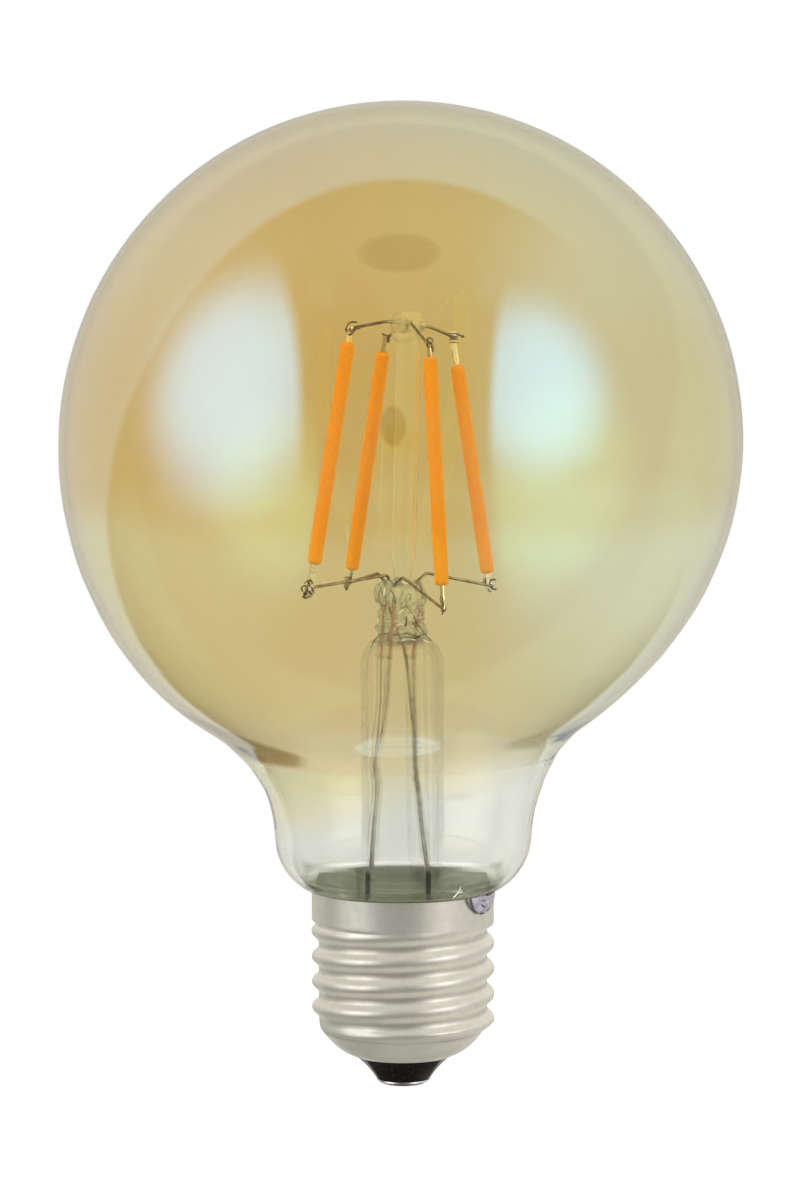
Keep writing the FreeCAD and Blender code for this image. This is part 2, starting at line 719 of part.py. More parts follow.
def thread_rise(angle, height, inset):
    """How far the shell stands out from its thread's root, at an angle and a height."""
    depth, pitch = size_of["thread_depth"], size_of["thread_pitch"]
    turns = angle / (2 * math.pi)
    position = (height - size_of["lowest_crest"]) / pitch - turns
    ridge = round(position)
    wound = ridge + turns
    last = size_of["skirt_bottom"] - size_of["lowest_crest"]
    fade_in = smooth_step((wound + 0.68) / 0.6)
    fade_out = 1 - smooth_step((wound - last / pitch + 0.02) / 0.3)
    raised = knuckle(position - ridge, depth, pitch, inset) + inset
    thread = -inset + raised * fade_in * fade_out
    edge = size_of["skirt_bottom"] + 0.3 * math.cos(angle - math.pi)
    skirt_step = size_of["cap_radius"] - size_of["thread_root"]
    share = smooth_step((height - edge) / 0.9 + 0.5)
    skirt = -inset + skirt_step * share
    blend = 0.1 - 0.098 * share
    return 0.5 * (thread + skirt + math.sqrt((thread - skirt) ** 2 + blend**2) - blend)


def shell_point(angle, step, inset):
    """A point of the shell's face, a number of steps down from its rim."""
    vertical = size_of["wall_steps"]
    if step <= vertical:
        height = size_of["cap_height"] - (size_of["cap_height"] - size_of["bowl_top"]) * step / vertical
        radius = size_of["thread_root"] + thread_rise(angle, height, inset)
    else:
        share = (step - vertical) / size_of["bowl_steps"]
        down = size_of["bowl_start"] + (size_of["bowl_end"] - size_of["bowl_start"]) * share
        bend = size_of["bowl_radius"] - inset
        height = size_of["bowl_centre_height"] + bend * math.sin(down)
        rise = thread_rise(angle, height, inset) + inset
        radius = size_of["bowl_centre"] + bend * math.cos(down) + rise * (1 - smooth_step(2.2 * share))
    return V(radius * math.cos(angle), radius * math.sin(angle), height)


def shell_values():
    """The sizes that the shell's points are worked out from."""
    names = ("thread_depth", "thread_pitch", "lowest_crest", "cap_radius", "cap_height", "bowl_radius")
    values = {name: size("Sizes." + name) for name in names}
    values["thread_root"] = size("Sizes.thread_crest - Sizes.thread_depth")
    values["skirt_bottom"] = size("Sizes.cap_height - Sizes.skirt_length")
    values["bowl_top"] = size("Sizes.lowest_crest - 0.08 * Sizes.thread_pitch")
    mouth = size("Sizes.bowl_mouth")
    values["bowl_centre"] = values["thread_root"] - 0.93 * values["bowl_radius"]
    values["bowl_start"] = -math.acos(0.93)
    values["bowl_end"] = -math.acos((mouth - values["bowl_centre"]) / values["bowl_radius"])
    drop = 0.15 + values["bowl_radius"] * math.sin(values["bowl_start"])
    values["bowl_centre_height"] = values["bowl_top"] - drop
    wall_pitches = (values["cap_height"] - values["bowl_top"]) / values["thread_pitch"]
    values["wall_steps"] = round(wall_pitches * ROWS_A_PITCH)
    values["bowl_steps"] = BOWL_ROWS
    return values


def pole(before, point, after):
    """The control point that brings a cubic curve through a point, from its neighbours."""
    return (point * 8 - before - after) * (1 / 6)


def spline_face(inset, around):
    """The shell's outer face, or the one at inset under it, as one surface that closes on itself."""
    last = size_of["wall_steps"] + size_of["bowl_steps"]
    steps = [0, 1 / 3, *range(1, last), last - 1 / 3, last]
    angles = [2 * math.pi * i / around for i in range(around)]
    rows = []
    for step in steps:
        row = [shell_point(angle, step, inset) for angle in angles]
        rows.append([pole(row[i - 1], row[i], row[(i + 1) % around]) for i in range(around)])
    poles = list(rows)
    for j in range(3, len(rows) - 3):
        poles[j] = [pole(*column) for column in zip(rows[j - 1], rows[j], rows[j + 1])]
    surface = Part.BSplineSurface()
    surface.buildFromPolesMultsKnots(
        poles, [4] + [1] * (last - 1) + [4], [1] * (around + 1),
        list(range(last + 1)), list(range(around + 1)), False, True, 3, 3,
    )
    return surface.toShape()


def rings(face):
    """The face's top and bottom edges."""
    closed = [edge for edge in face.Edges if edge.Closed]
    return sorted(closed, key=lambda edge: -edge.BoundBox.ZMax)


def cap_shell():
    outer = spline_face(0, POINTS_AROUND)
    inner = spline_face(size("Sizes.cap_wall"), POINTS_AROUND)
    (outer_top, outer_low), (inner_top, inner_low) = rings(outer), rings(inner)
    rim = Part.makeRuledSurface(outer_top, inner_top)
    lip = Part.makeRuledSurface(outer_low, inner_low)
    return Part.makeSolid(Part.makeShell([outer, inner.reversed(), rim, lip]))


size_of = shell_values()
feature("cap_shell", cap_shell())


# Insulator, centre contact and cement

def insulator():
    """Black glass that closes the cap's bowl from both sides of its mouth."""
    inset = "Sizes.cap_wall + Sizes.fit"
    bend = size(f"Sizes.bowl_radius - ({inset})")
    centre, centre_height = size_of["bowl_centre"], size_of["bowl_centre_height"]
    share = bend / size("Sizes.bowl_radius")
    lip = centre + (size("Sizes.bowl_mouth") - centre) * share - size("Sizes.fit")
    lip_height = centre_height - math.sqrt(bend**2 - (lip - centre) ** 2)
    top = size("Sizes.insulator_top")
    top_radius = centre + math.sqrt(bend**2 - (centre_height - top) ** 2)
    under = lip_height - size("Sizes.cap_wall + 2 * Sizes.fit")
    return turned_body("cap_insulator", [
        ("Sizes.eyelet_radius + Sizes.fit", "Sizes.contact_thickness"),
        ("Sizes.contact_radius", "Sizes.contact_thickness"),
        (f"{lip:.6f}", f"{under:.6f}", "-Sizes.insulator_hollow"),
        (f"{lip:.6f}", f"{lip_height:.6f}"),
        (f"{top_radius:.6f}", "Sizes.insulator_top", f"Sizes.bowl_radius - ({inset})"),
        ("Sizes.eyelet_radius + Sizes.fit", "Sizes.insulator_top"),
    ])


keep(insulator(), "cap_insulator")

eyelet_top = "Sizes.insulator_top + Sizes.eyelet_rise"
eyelet_bore = "Sizes.eyelet_radius - Sizes.eyelet_wall"
keep(turned_body("centre_contact", [
    ("0", "0"),
    ("Sizes.contact_flat", "0"),
    ("Sizes.contact_radius", "0.7 * Sizes.contact_thickness", "3 * Sizes.contact_thickness"),
    ("Sizes.contact_radius", "Sizes.contact_thickness"),
    ("Sizes.eyelet_radius", "Sizes.contact_thickness"),
    ("Sizes.eyelet_radius", eyelet_top),
    (eyelet_bore, eyelet_top),
    (eyelet_bore, "Sizes.contact_thickness"),
    ("0", "Sizes.contact_thickness"),
]), "centre_contact")

# Side lead: from the board's edge, up past the foot and out over the rim, under its solder

solder_angle = size("Sizes.solder_angle")
lead_radius = size("Sizes.side_lead")
between = size("0.5 * (Sizes.foot_radius + Sizes.cap_radius - Sizes.cap_wall)")
over_rim = size("Sizes.cap_height + 0.5 * Sizes.rim_gap")
beside_board = size("Sizes.board_radius + Sizes.side_lead")
side_lead = wire(
    [
        polar(beside_board, solder_angle, board_top - 1.4),
        polar(beside_board, solder_angle, board_top - 0.9),
        polar(between, solder_angle, board_top - 0.3),
        polar(between, solder_angle, over_rim),
        polar(size("Sizes.cap_radius + Sizes.side_lead + Sizes.fit"), solder_angle, over_rim),
    ],
    lead_radius,
    size("Sizes.side_lead_bend"),
)
feature("side_lead", side_lead)


def side_solder():
    """A flat smear of solder on the skirt, up to the rim, where it holds the side lead's end."""
    skin = size("Sizes.cap_radius + 0.5 * Sizes.fit")
    thickness, height = size("Sizes.solder_thickness"), size("Sizes.solder_height")
    stretch = FreeCAD.Matrix()
    stretch.scale(2 * thickness, size("Sizes.solder_width / 2"), height)
    smear = Part.makeSphere(1).transformGeometry(stretch)
    middle = polar(skin - 0.5 * thickness, solder_angle, over_rim)
    smear.Placement = FreeCAD.Placement(middle, FreeCAD.Rotation(V(0, 0, 1), solder_angle))
    band = Part.makeCylinder(skin + 2 * thickness, height, V(0, 0, over_rim - height))
    band = band.cut(Part.makeCylinder(skin, over_rim))
    return smear.common(band).cut(side_lead)


feature("side_solder", side_solder())


def cap_cement():
    """A ring of cement between the stem's foot and the cap's skirt, open where the side lead passes."""
    base = V(0, 0, size("Sizes.foot_bottom + Sizes.cement_gap"))
    length = size("Sizes.cement_length")
    ring = Part.makeCylinder(size("Sizes.cap_radius - Sizes.cap_wall - Sizes.fit"), length, base)
    ring = ring.cut(Part.makeCylinder(size("Sizes.foot_radius + Sizes.fit"), length, base))
    slot = Part.makeBox(2, 6 * lead_radius, length, base + V(between - 1, -3 * lead_radius, 0))
    slot.rotate(V(0, 0, 0), V(0, 0, 1), solder_angle)
    return ring.cut(slot)


feature("cap_cement", cap_cement())


# Driver: a round board under the foot, with its components below it

board = doc.addObject("Part::Cylinder", "driver_board")
board.setExpression("Radius", "Sizes.board_radius")
board.setExpression("Height", "Sizes.board_thickness")
board.setExpression("Placement.Base.z", "Sizes.foot_bottom - Sizes.board_thickness")
keep(board, "driver_board")

board_under = "Sizes.foot_bottom - Sizes.board_thickness"
can = "Sizes.capacitor_radius"
capacitor = turned_body("smoothing_capacitor", [
    ("0", f"{board_under} - Sizes.capacitor_length"),
    (f"0.9 * {can}", f"{board_under} - Sizes.capacitor_length"),
    (can, f"{board_under} - Sizes.capacitor_length + 0.1 * {can}", f"0.1 * {can}"),
    (can, f"{board_under} - 0.55 * {can}"),
    (f"0.9 * {can}", f"{board_under} - 0.45 * {can}"),
    (can, f"{board_under} - 0.35 * {can}"),
    (can, board_under),
    ("0", board_under),
])
capacitor.setExpression("Placement.Base.x", "-Sizes.capacitor_left")
capacitor.setExpression("Placement.Base.y", "Sizes.capacitor_back")
keep(capacitor, "smoothing_capacitor")

rectifier = doc.addObject("Part::Box", "bridge_rectifier")
rectifier.setExpression("Length", "Sizes.rectifier_length")
rectifier.setExpression("Width", "Sizes.rectifier_width")
rectifier.setExpression("Height", "Sizes.rectifier_thickness")
rectifier.setExpression("Placement.Base.x", "0.3 * Sizes.board_radius")
rectifier.setExpression("Placement.Base.y", "-0.5 * Sizes.board_radius")
rectifier.setExpression("Placement.Base.z", f"{board_under} - Sizes.rectifier_thickness")
keep(rectifier, "bridge_rectifier")

resistor_top = f"({board_under} - Sizes.resistor_top_gap)"
resistor_low = f"({resistor_top} - Sizes.resistor_length)"
barrel, lead = "Sizes.resistor_radius", "Sizes.resistor_lead"
keep(turned_body("fuse_resistor", [
    ("0", "Sizes.contact_thickness"),
    (lead, "Sizes.contact_thickness"),
    (lead, resistor_low),
    (f"0.8 * {barrel}", resistor_low),
    (barrel, f"{resistor_low} + 0.5 * {barrel}", f"0.6 * {barrel}"),
    (barrel, f"{resistor_top} - 0.5 * {barrel}"),
    (f"0.8 * {barrel}", resistor_top, f"0.6 * {barrel}"),
    (lead, resistor_top),
    (lead, board_under),
    ("0", board_under),
]), "fuse_resistor")


# Every object has to be sound before anything is written

doc.recompute()
for thing in doc.Objects:
    if "Invalid" in thing.State or "Error" in thing.State:
        raise RuntimeError(f"{thing.Label} could not be made: {thing.State}")
for part in parts:
    if part.Shape.isNull() or not part.Shape.isValid() or not part.Shape.Solids:
        raise RuntimeError(f"{part.Label} is not a sound solid")

os.makedirs("parts", exist_ok=True)
for part in parts:
    part.Shape.exportStep(f"parts/{part.Label}.step")
    print(f"{part.Label}: {len(part.Shape.Solids)} solid, {part.Shape.Volume:.2f} mm3")
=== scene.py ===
# %% [markdown]
# # A globe filament bulb
#
# The bulb's solids come from its CAD model: a thin glass globe on a rolled screw cap, with a glass stem
# inside that holds four filaments. This lesson gives each piece its finish, adds the small metal and glass
# details that a solid model leaves out, and sets up the studio.

import math

import bmesh
import bpy
from mathutils import Matrix, Vector, noise


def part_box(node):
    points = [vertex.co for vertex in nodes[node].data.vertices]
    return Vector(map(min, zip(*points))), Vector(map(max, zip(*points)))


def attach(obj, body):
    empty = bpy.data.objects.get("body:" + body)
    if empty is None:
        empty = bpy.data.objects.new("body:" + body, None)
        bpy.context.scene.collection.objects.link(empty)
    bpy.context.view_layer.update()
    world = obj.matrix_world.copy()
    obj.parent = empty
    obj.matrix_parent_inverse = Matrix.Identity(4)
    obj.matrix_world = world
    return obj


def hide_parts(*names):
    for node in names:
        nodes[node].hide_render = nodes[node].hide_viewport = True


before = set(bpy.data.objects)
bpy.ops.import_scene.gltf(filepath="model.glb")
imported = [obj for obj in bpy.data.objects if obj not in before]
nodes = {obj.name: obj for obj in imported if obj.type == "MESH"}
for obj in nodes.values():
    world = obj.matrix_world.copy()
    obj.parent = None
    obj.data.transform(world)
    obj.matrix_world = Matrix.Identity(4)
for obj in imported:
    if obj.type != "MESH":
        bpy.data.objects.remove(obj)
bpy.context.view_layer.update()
scene = bpy.context.scene
MM = 0.001
print("solids:", len(nodes))

# %% [markdown]
# ## Where things are
#
# Every piece lies in the same frame as the solids: in metres, with the tip of the contact at zero and Z up the
# bulb's axis. The camera stands on the side of negative Y, so that side is the front, and the left is negative
# X. The boxes of three solids are printed, to read levels against. Named here are the level where the lustre
# on the glass ends, the places of the two dark sleeves over the cap, and the numbers of the four filaments.

# %% Levels of the globe, the stem and the cap
for name in ("glass_globe", "stem_flare", "cap_shell"):
    low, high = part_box(name)
    print(name, "radius", round(high.x, 4), "from", round(low.z, 4), "to", round(high.z, 4))
LUSTRE_END = 47.4 * MM
SLEEVE_PLACES = (-4.87 * MM, 3.55 * MM)
NUMBERS = range(1, 5)

# %% [markdown]
# ## Helpers for materials
#
# A material is a small graph of nodes. Written out socket by socket, such a graph is hard to read, so these
# helpers say it shortly: one fills a node's sockets, one adds a node, and one starts a material.


# %% Start a material
def fill(node, sockets):
    """Gives sockets, by name or number, a value, or a link where the value is another node's output."""
    for key, value in sockets.items():
        if isinstance(value, bpy.types.NodeSocket):
            node.id_data.links.new(value, node.inputs[key])
        else:
            node.inputs[key].default_value = value


def add(tree, kind, sockets={}, **settings):
    """A node with its settings and what its sockets hold."""
    node = tree.nodes.new(kind)
    for key, value in settings.items():
        setattr(node, key, value)
    fill(node, sockets)
    return node


def finish_for(name, colour, metallic=0.0, roughness=0.5):
    """A material with one Principled shader. Returns the material, its graph and the shader."""
    material = bpy.data.materials.new(name)
    material.use_nodes = True
    tree = material.node_tree
    shader = tree.nodes["Principled BSDF"]
    fill(shader, {"Base Color": (*colour, 1), "Metallic": metallic, "Roughness": roughness})
    return material, tree, shader


# %% [markdown]
# A mask is a number from 0 to 1 that says where on a surface something happens. Most masks here come from a
# place on the bulb, such as a height, or from a noise. The smooth step turns either into a mask, and a mask
# blends two colours. The noise also makes relief, for ripples in glass and for the grain of a metal.

# %% Masks, blends and relief
def maths(tree, operation, *values):
    return add(tree, "ShaderNodeMath", dict(enumerate(values)), operation=operation).outputs[0]


def step(tree, value, low, high):
    """0 below low, 1 above high, and smooth between them. It also runs down where low is over high."""
    down = low > high
    ends = {"From Min": min(low, high), "From Max": max(low, high), "To Min": float(down), "To Max": float(not down)}
    return add(tree, "ShaderNodeMapRange", {"Value": value, **ends}, interpolation_type="SMOOTHSTEP").outputs[0]


def blend_colours(tree, mask, first, second):
    """The first colour where the mask is 0, and the second where it is 1."""
    colours = [value if isinstance(value, bpy.types.NodeSocket) else (*value, 1) for value in (first, second)]
    return add(tree, "ShaderNodeMix", {0: mask, 6: colours[0], 7: colours[1]}, data_type="RGBA").outputs[2]


def place(tree):
    """The point being shaded, in metres in the bulb's frame."""
    return add(tree, "ShaderNodeTexCoord").outputs["Object"]


def parts(tree, vector):
    """The three numbers of a vector, such as a place or a direction."""
    return add(tree, "ShaderNodeSeparateXYZ", {0: vector}).outputs


def height(tree):
    return parts(tree, place(tree))["Z"]


def product(tree, first, *others):
    """Masks multiplied: 1 only where every one of them is 1."""
    for other in others:
        first = maths(tree, "MULTIPLY", first, other)
    return first


def wear(tree, scale, detail=3.0, stretch=(1, 1, 1)):
    """A noise pattern, so many times to a metre, stretched along the axes."""
    mapped = add(tree, "ShaderNodeMapping", {"Vector": place(tree), "Scale": stretch})
    where = {"Vector": mapped.outputs[0], "Scale": scale, "Detail": detail}
    return add(tree, "ShaderNodeTexNoise", where).outputs["Fac"]


def roughen(tree, shader, pattern, strength, depth):
    """Turns a pattern into relief on the shader's normal."""
    bump = add(tree, "ShaderNodeBump", {"Height": pattern, "Strength": strength, "Distance": depth})
    fill(shader, {"Normal": bump.outputs["Normal"]})


def show_mix(tree, mask, first, second):
    """Makes the material's surface a mix of two shaders, the first where the mask is 0."""
    mixed = add(tree, "ShaderNodeMixShader", {0: mask, 1: first.outputs[0], 2: second.outputs[0]})
    tree.links.new(mixed.outputs[0], tree.nodes["Material Output"].inputs["Surface"])


def dress(material, *names):
    """Gives solids their material."""
    for name in names:
        slots = nodes[name].data.materials
        slots.clear()
        slots.append(material)
    print(material.name, "on", ", ".join(names))


# %% [markdown]
# ## Fine wear, shared
#
# Metals and plastics here share one effect: their polish isn't even. A node group is built once, and each
# material places it with its own colours and strength. It puts out a colour and a roughness.

# %% The wear group
def fine_wear_group():
    group = bpy.data.node_groups.new("fine wear", "ShaderNodeTree")
    for name in ("Scale", "Amount", "Smooth", "Rough"):
        group.interface.new_socket(name, in_out="INPUT", socket_type="NodeSocketFloat")
    for name in ("Clean", "Worn"):
        group.interface.new_socket(name, in_out="INPUT", socket_type="NodeSocketColor")
    group.interface.new_socket("Colour", in_out="OUTPUT", socket_type="NodeSocketColor")
    group.interface.new_socket("Roughness", in_out="OUTPUT", socket_type="NodeSocketFloat")
    start = group.nodes.new("NodeGroupInput")
    end = group.nodes.new("NodeGroupOutput")
    where = {"Vector": place(group), "Scale": start.outputs["Scale"], "Detail": 5.0}
    mask = step(group, add(group, "ShaderNodeTexNoise", where).outputs["Fac"], 0.35, 0.7)
    amount = maths(group, "MULTIPLY", mask, start.outputs["Amount"])
    colour = blend_colours(group, amount, start.outputs["Clean"], start.outputs["Worn"])
    spread = maths(group, "SUBTRACT", start.outputs["Rough"], start.outputs["Smooth"])
    rough = maths(group, "MULTIPLY_ADD", mask, spread, start.outputs["Smooth"])
    fill(end, {"Colour": colour, "Roughness": rough})
    return group


fine_wear = fine_wear_group()
print("wear group nodes", len(fine_wear.nodes))


def worn_finish(name, clean, worn, amount, metallic, smooth, rough, scale=900.0):
    """A material whose colour and polish come from the wear group."""
    material, tree, shader = finish_for(name, clean, metallic)
    given = {"Scale": scale, "Amount": amount, "Smooth": smooth, "Rough": rough}
    group = add(tree, "ShaderNodeGroup", {**given, "Clean": (*clean, 1), "Worn": (*worn, 1)}, node_tree=fine_wear)
    fill(shader, {"Base Color": group.outputs["Colour"], "Roughness": group.outputs["Roughness"]})
    return material, tree, shader


# %% [markdown]
# ## Glass
#
# Real glass bends light, and a renderer follows that, but it also blocks the lamps, because a straight
# shadow ray can't find its way through a bend. Each glass here lets shadow rays pass through a plain tinted
# transparent shader instead, so the filaments and the stem are lit as they would be.

# %% Let lamps shine through a glass
def let_lamps_through(tree, shader, tint):
    clear = add(tree, "ShaderNodeBsdfTransparent", {"Color": (*tint, 1)})
    path = add(tree, "ShaderNodeLightPath")
    show_mix(tree, path.outputs["Is Shadow Ray"], shader, clear)


# %% [markdown]
# The globe's glass carries a thin lustre of metal oxide, sprayed on before the cap went on. It tints the
# light amber and mirrors more than bare glass does, with a bluish cast, as a thin film does: that is what the
# tint of the mirrored light is for. It was sprayed from above, so it thins out towards the neck. The colour
# follows the height, and a slow noise keeps its steps from being level. Where the glass turns edge-on, light
# passes a longer way through the film, so it is deeper there.

# %% Amber by height
lustre, tree, shader = finish_for("amber lustre glass", (0.9, 0.75, 0.45), roughness=0.0)
fill(shader, {"Transmission Weight": 1.0, "IOR": 1.42, "Specular Tint": (0.6, 2.4, 4.4, 1)})
where = parts(tree, place(tree))
level = where["Z"]
drifted = maths(tree, "MULTIPLY_ADD", wear(tree, 28.0, 2.0), 0.008, level)
top_half = blend_colours(tree, step(tree, drifted, 0.105, 0.128), (0.775, 0.685, 0.385), (0.80, 0.735, 0.475))
amber = blend_colours(tree, step(tree, drifted, 0.0835, 0.0895), (0.80, 0.785, 0.565), top_half)
tinted = blend_colours(tree, step(tree, drifted, 0.050, 0.066), (0.845, 0.84, 0.69), amber)
turned_away = add(tree, "ShaderNodeLayerWeight", {"Blend": 0.5}).outputs["Facing"]
globe_colour = blend_colours(tree, step(tree, turned_away, 0.72, 1.0), tinted, (0.60, 0.50, 0.30))

# %% [markdown]
# The colour is also multiplied by a cast that is a painted reflection of the room, which is lighter on the
# right: warm on the left, and fresher on the right, most so at the top.

# %% Painted reflection: warm left, fresh right
fresher = blend_colours(tree, step(tree, level, 0.080, 0.092), (0.98, 1.01, 1.055), (0.99, 1.055, 1.11))
# A painted reflection: warmer on the left, fresher on the right.
cast = blend_colours(tree, step(tree, where["X"], -0.035, 0.03), (1.005, 0.975, 0.935), fresher)
globe_colour = add(tree, "ShaderNodeVectorMath", {0: globe_colour, 1: cast}, operation="MULTIPLY").outputs[0]

# %% [markdown]
# Two faint dark ovals on the front of the globe are painted reflections, one near the top and one before the
# filaments, and two darker wedges run out along the shoulder. They could be painted on a flattened skin of the
# globe. Here sums do it: an oval is where its equation is small, and a wedge lies under a slanting line, above a
# level, and outwards from a point. All four are kept to the front.

# %% Painted reflections and darker wedges on the globe
front_only = step(tree, where["Y"], 0.0, -0.003)
# Middle to the right, middle upwards, half width, half height, colour
PAINTED_REFLECTIONS = ((-0.0002, 0.1201, 0.0058, 0.0027, (0.66, 0.58, 0.33)), (-0.0011, 0.0975, 0.0018, 0.0028, (0.60, 0.49, 0.20)))
# Painted reflections: dark ovals of another colour on the front of the globe.
for middle_x, middle_z, half_x, half_z, patch_colour in PAINTED_REFLECTIONS:
    across = maths(tree, "DIVIDE", maths(tree, "SUBTRACT", where["X"], middle_x), half_x)
    upwards = maths(tree, "DIVIDE", maths(tree, "SUBTRACT", level, middle_z), half_z)
    oval = maths(tree, "MULTIPLY_ADD", upwards, upwards, maths(tree, "MULTIPLY", across, across))
    reflection_patch = product(tree, step(tree, oval, 1.15, 0.6), front_only, 0.7)
    globe_colour = blend_colours(tree, reflection_patch, globe_colour, patch_colour)

# Start to the right, level of the ridge there, slope of the ridge, level of the foot, colour
WEDGES = ((-0.0125, 0.0497, -0.29, 0.0481, (0.46, 0.37, 0.19)), (0.0130, 0.0518, 0.236, 0.0506, (0.66, 0.66, 0.50)))
for start_x, start_z, slope, foot, patch_colour in WEDGES:
    along = maths(tree, "SUBTRACT", where["X"], start_x)
    ridge = maths(tree, "MULTIPLY_ADD", along, slope, start_z)
    under = step(tree, maths(tree, "SUBTRACT", ridge, level), -0.0002, 0.0004)
    outward = step(tree, along, 0.0, 0.003 if start_x > 0 else -0.003)
    above = step(tree, level, foot - 0.0005, foot + 0.0005)
    globe_colour = blend_colours(tree, product(tree, under, outward, above, front_only), globe_colour, patch_colour)

# %% Finish the lustre
fill(shader, {"Base Color": globe_colour})
roughen(tree, shader, wear(tree, 45.0, 1.0), 0.05, 0.0004)
let_lamps_through(tree, shader, (0.93, 0.86, 0.72))
dress(lustre, "glass_globe")

# %% [markdown]
# The lustre stops where the shoulder turns into the neck. Below that line the glass is bare, so it mirrors
# less and has hardly any colour, with a last breath of amber that reaches lower on the left.
#
# At the bottom the neck turns in to a rounded heel. From the front one looks through it at the dark seal and
# at the sleeves of the two leads. Traced exactly, the many bends there scatter that view. So the front of the
# heel is partly see-through, tinted olive, and carries the sleeves as two dark bars. Its sides and back stay
# solid glass, so its outline is whole.

# %% Bare glass of the neck
bare, tree, shader = finish_for("bare glass", (0.9, 0.91, 0.86), roughness=0.0)
fill(shader, {"Transmission Weight": 1.0, "IOR": 1.45})
where = parts(tree, place(tree))
drifted = maths(tree, "MULTIPLY_ADD", wear(tree, 60.0, 2.0), 0.006, where["Z"])
drifted = maths(tree, "MULTIPLY_ADD", where["X"], -0.3, drifted)
neck_colour = blend_colours(tree, step(tree, drifted, 0.0425, 0.049), (0.86, 0.87, 0.82), (0.87, 0.84, 0.66))
off_middle = maths(tree, "ABSOLUTE", where["X"])
beside = maths(tree, "MAXIMUM", step(tree, off_middle, 0.0126, 0.0145), step(tree, where["Y"], -0.003, 0.0))
solid_glass = maths(tree, "MAXIMUM", beside, step(tree, where["Z"], 0.0325, 0.034))
neck_colour = blend_colours(tree, solid_glass, (0.33, 0.365, 0.19), neck_colour)

# %% Bars of the two sleeves
def sleeve_bar(tree, across, middle, outer, inner):
    """A mask for an upright bar: 0 beyond its outer half width, 1 within the inner one."""
    return step(tree, maths(tree, "ABSOLUTE", maths(tree, "SUBTRACT", across, middle)), outer, inner)


for sleeve_x in SLEEVE_PLACES:
    bar = sleeve_bar(tree, where["X"], sleeve_x, 0.00044, 0.00026)
    bar = product(tree, bar, maths(tree, "SUBTRACT", 1.0, solid_glass))
    neck_colour = blend_colours(tree, bar, neck_colour, (0.06, 0.062, 0.042))
    solid_glass = maths(tree, "MAXIMUM", solid_glass, product(tree, bar, 0.7))
fill(shader, {"Base Color": neck_colour, "Alpha": maths(tree, "MULTIPLY_ADD", solid_glass, 0.6, 0.4)})
roughen(tree, shader, wear(tree, 45.0, 1.0), 0.05, 0.0004)
let_lamps_through(tree, shader, (0.95, 0.95, 0.92))

# %% [markdown]
# The stem is plain soft glass, drawn and pressed by hand, so its faces ripple a little. It stands behind two
# walls of the globe and holds a tube of its own, so a ray meets up to ten faces of glass on its way. Each one
# darkens and bends it. Real stem glass is nearly invisible but for its edges, so this finish is mostly
# see-through, with a low refraction that still draws the edges. Just over the foot it is clearer still.

# %% Stem glass
stem_glass, tree, shader = finish_for("stem glass", (0.98, 0.99, 0.98), roughness=0.0)
fill(shader, {"Transmission Weight": 1.0, "IOR": 1.22})
streaks = wear(tree, 220.0, 2.0, (1, 1, 0.15))
fill(shader, {"Base Color": blend_colours(tree, streaks, (0.965, 0.98, 0.965), (0.99, 0.99, 0.985))})
over_foot = step(tree, height(tree), 0.0325, 0.036)
fill(shader, {"Alpha": maths(tree, "MULTIPLY_ADD", over_foot, 0.23, 0.12)})
roughen(tree, shader, streaks, 0.06, 0.0002)
let_lamps_through(tree, shader, (0.95, 0.96, 0.94))
dress(stem_glass, "stem_flare", "exhaust_tube")

# %% [markdown]
# The rod in the middle is solid glass. It shows as a pale stripe with long streaks, from the way it was drawn,
# so its noise is stretched along its length.

# %% Rod glass
rod_glass, tree, shader = finish_for("rod glass", (0.96, 0.98, 0.95), roughness=0.03)
fill(shader, {"Transmission Weight": 0.8, "IOR": 1.35})
drawn = wear(tree, 300.0, 2.0, (1, 1, 0.06))
fill(shader, {"Base Color": blend_colours(tree, drawn, (0.90, 0.94, 0.88), (0.98, 0.99, 0.97))})
roughen(tree, shader, drawn, 0.25, 0.0002)
let_lamps_through(tree, shader, (0.94, 0.96, 0.93))
dress(rod_glass, "support_rod")

# %% [markdown]
# ## Filaments
#
# Each filament is a strip of tiny light sources under a coat of silicone that is filled with a yellow-orange
# phosphor. The silicone lets a little light in and spreads it, so it has some subsurface scattering and a
# soft shine. A phosphor also gives back part of the light that falls on it as more orange, also when the bulb
# is off. A weak emission stands for that, and it is partly painted light that keeps the filaments bright behind
# the glass.

# %% Phosphor silicone
phosphor, tree, shader = finish_for("phosphor silicone", (1.0, 0.36, 0.01), roughness=0.5)
grain = step(tree, wear(tree, 2600.0, 4.0), 0.35, 0.7)
fill(shader, {"Base Color": blend_colours(tree, grain, (0.98, 0.41, 0.004), (1.0, 0.48, 0.012))})
# The weak emission is partly phosphor glow and partly painted light.
fill(shader, {
    "Subsurface Weight": 0.3, "Emission Color": (1.0, 0.47, 0.01, 1), "Emission Strength": 0.2,
    "Specular IOR Level": 0.2, "Subsurface Radius": (0.6, 0.3, 0.08), "Subsurface Scale": 0.0008})
roughen(tree, shader, wear(tree, 1800.0), 0.2, 0.00004)
dress(phosphor, *[f"filament_{n}" for n in NUMBERS])

# %% [markdown]
# ## Metals inside the globe
#
# The tabs are bright nickel-plated strip. Two more finishes of strip are needed: a wide one on the right
# catches the light and looks nearly white, which a weak emission of painted light helps, and a clip at the back
# left is dull.
# All of them place the same wear group with their own values.

# %% Tabs and strips
tab_metal, *_ = worn_finish(
    "bright strip", (0.82, 0.79, 0.70), (0.5, 0.47, 0.4), 0.5, 1.0, 0.15, 0.35, 1500.0)
dress(tab_metal, *[f"{end}_tab_{n}" for end in ("upper", "lower") for n in NUMBERS])

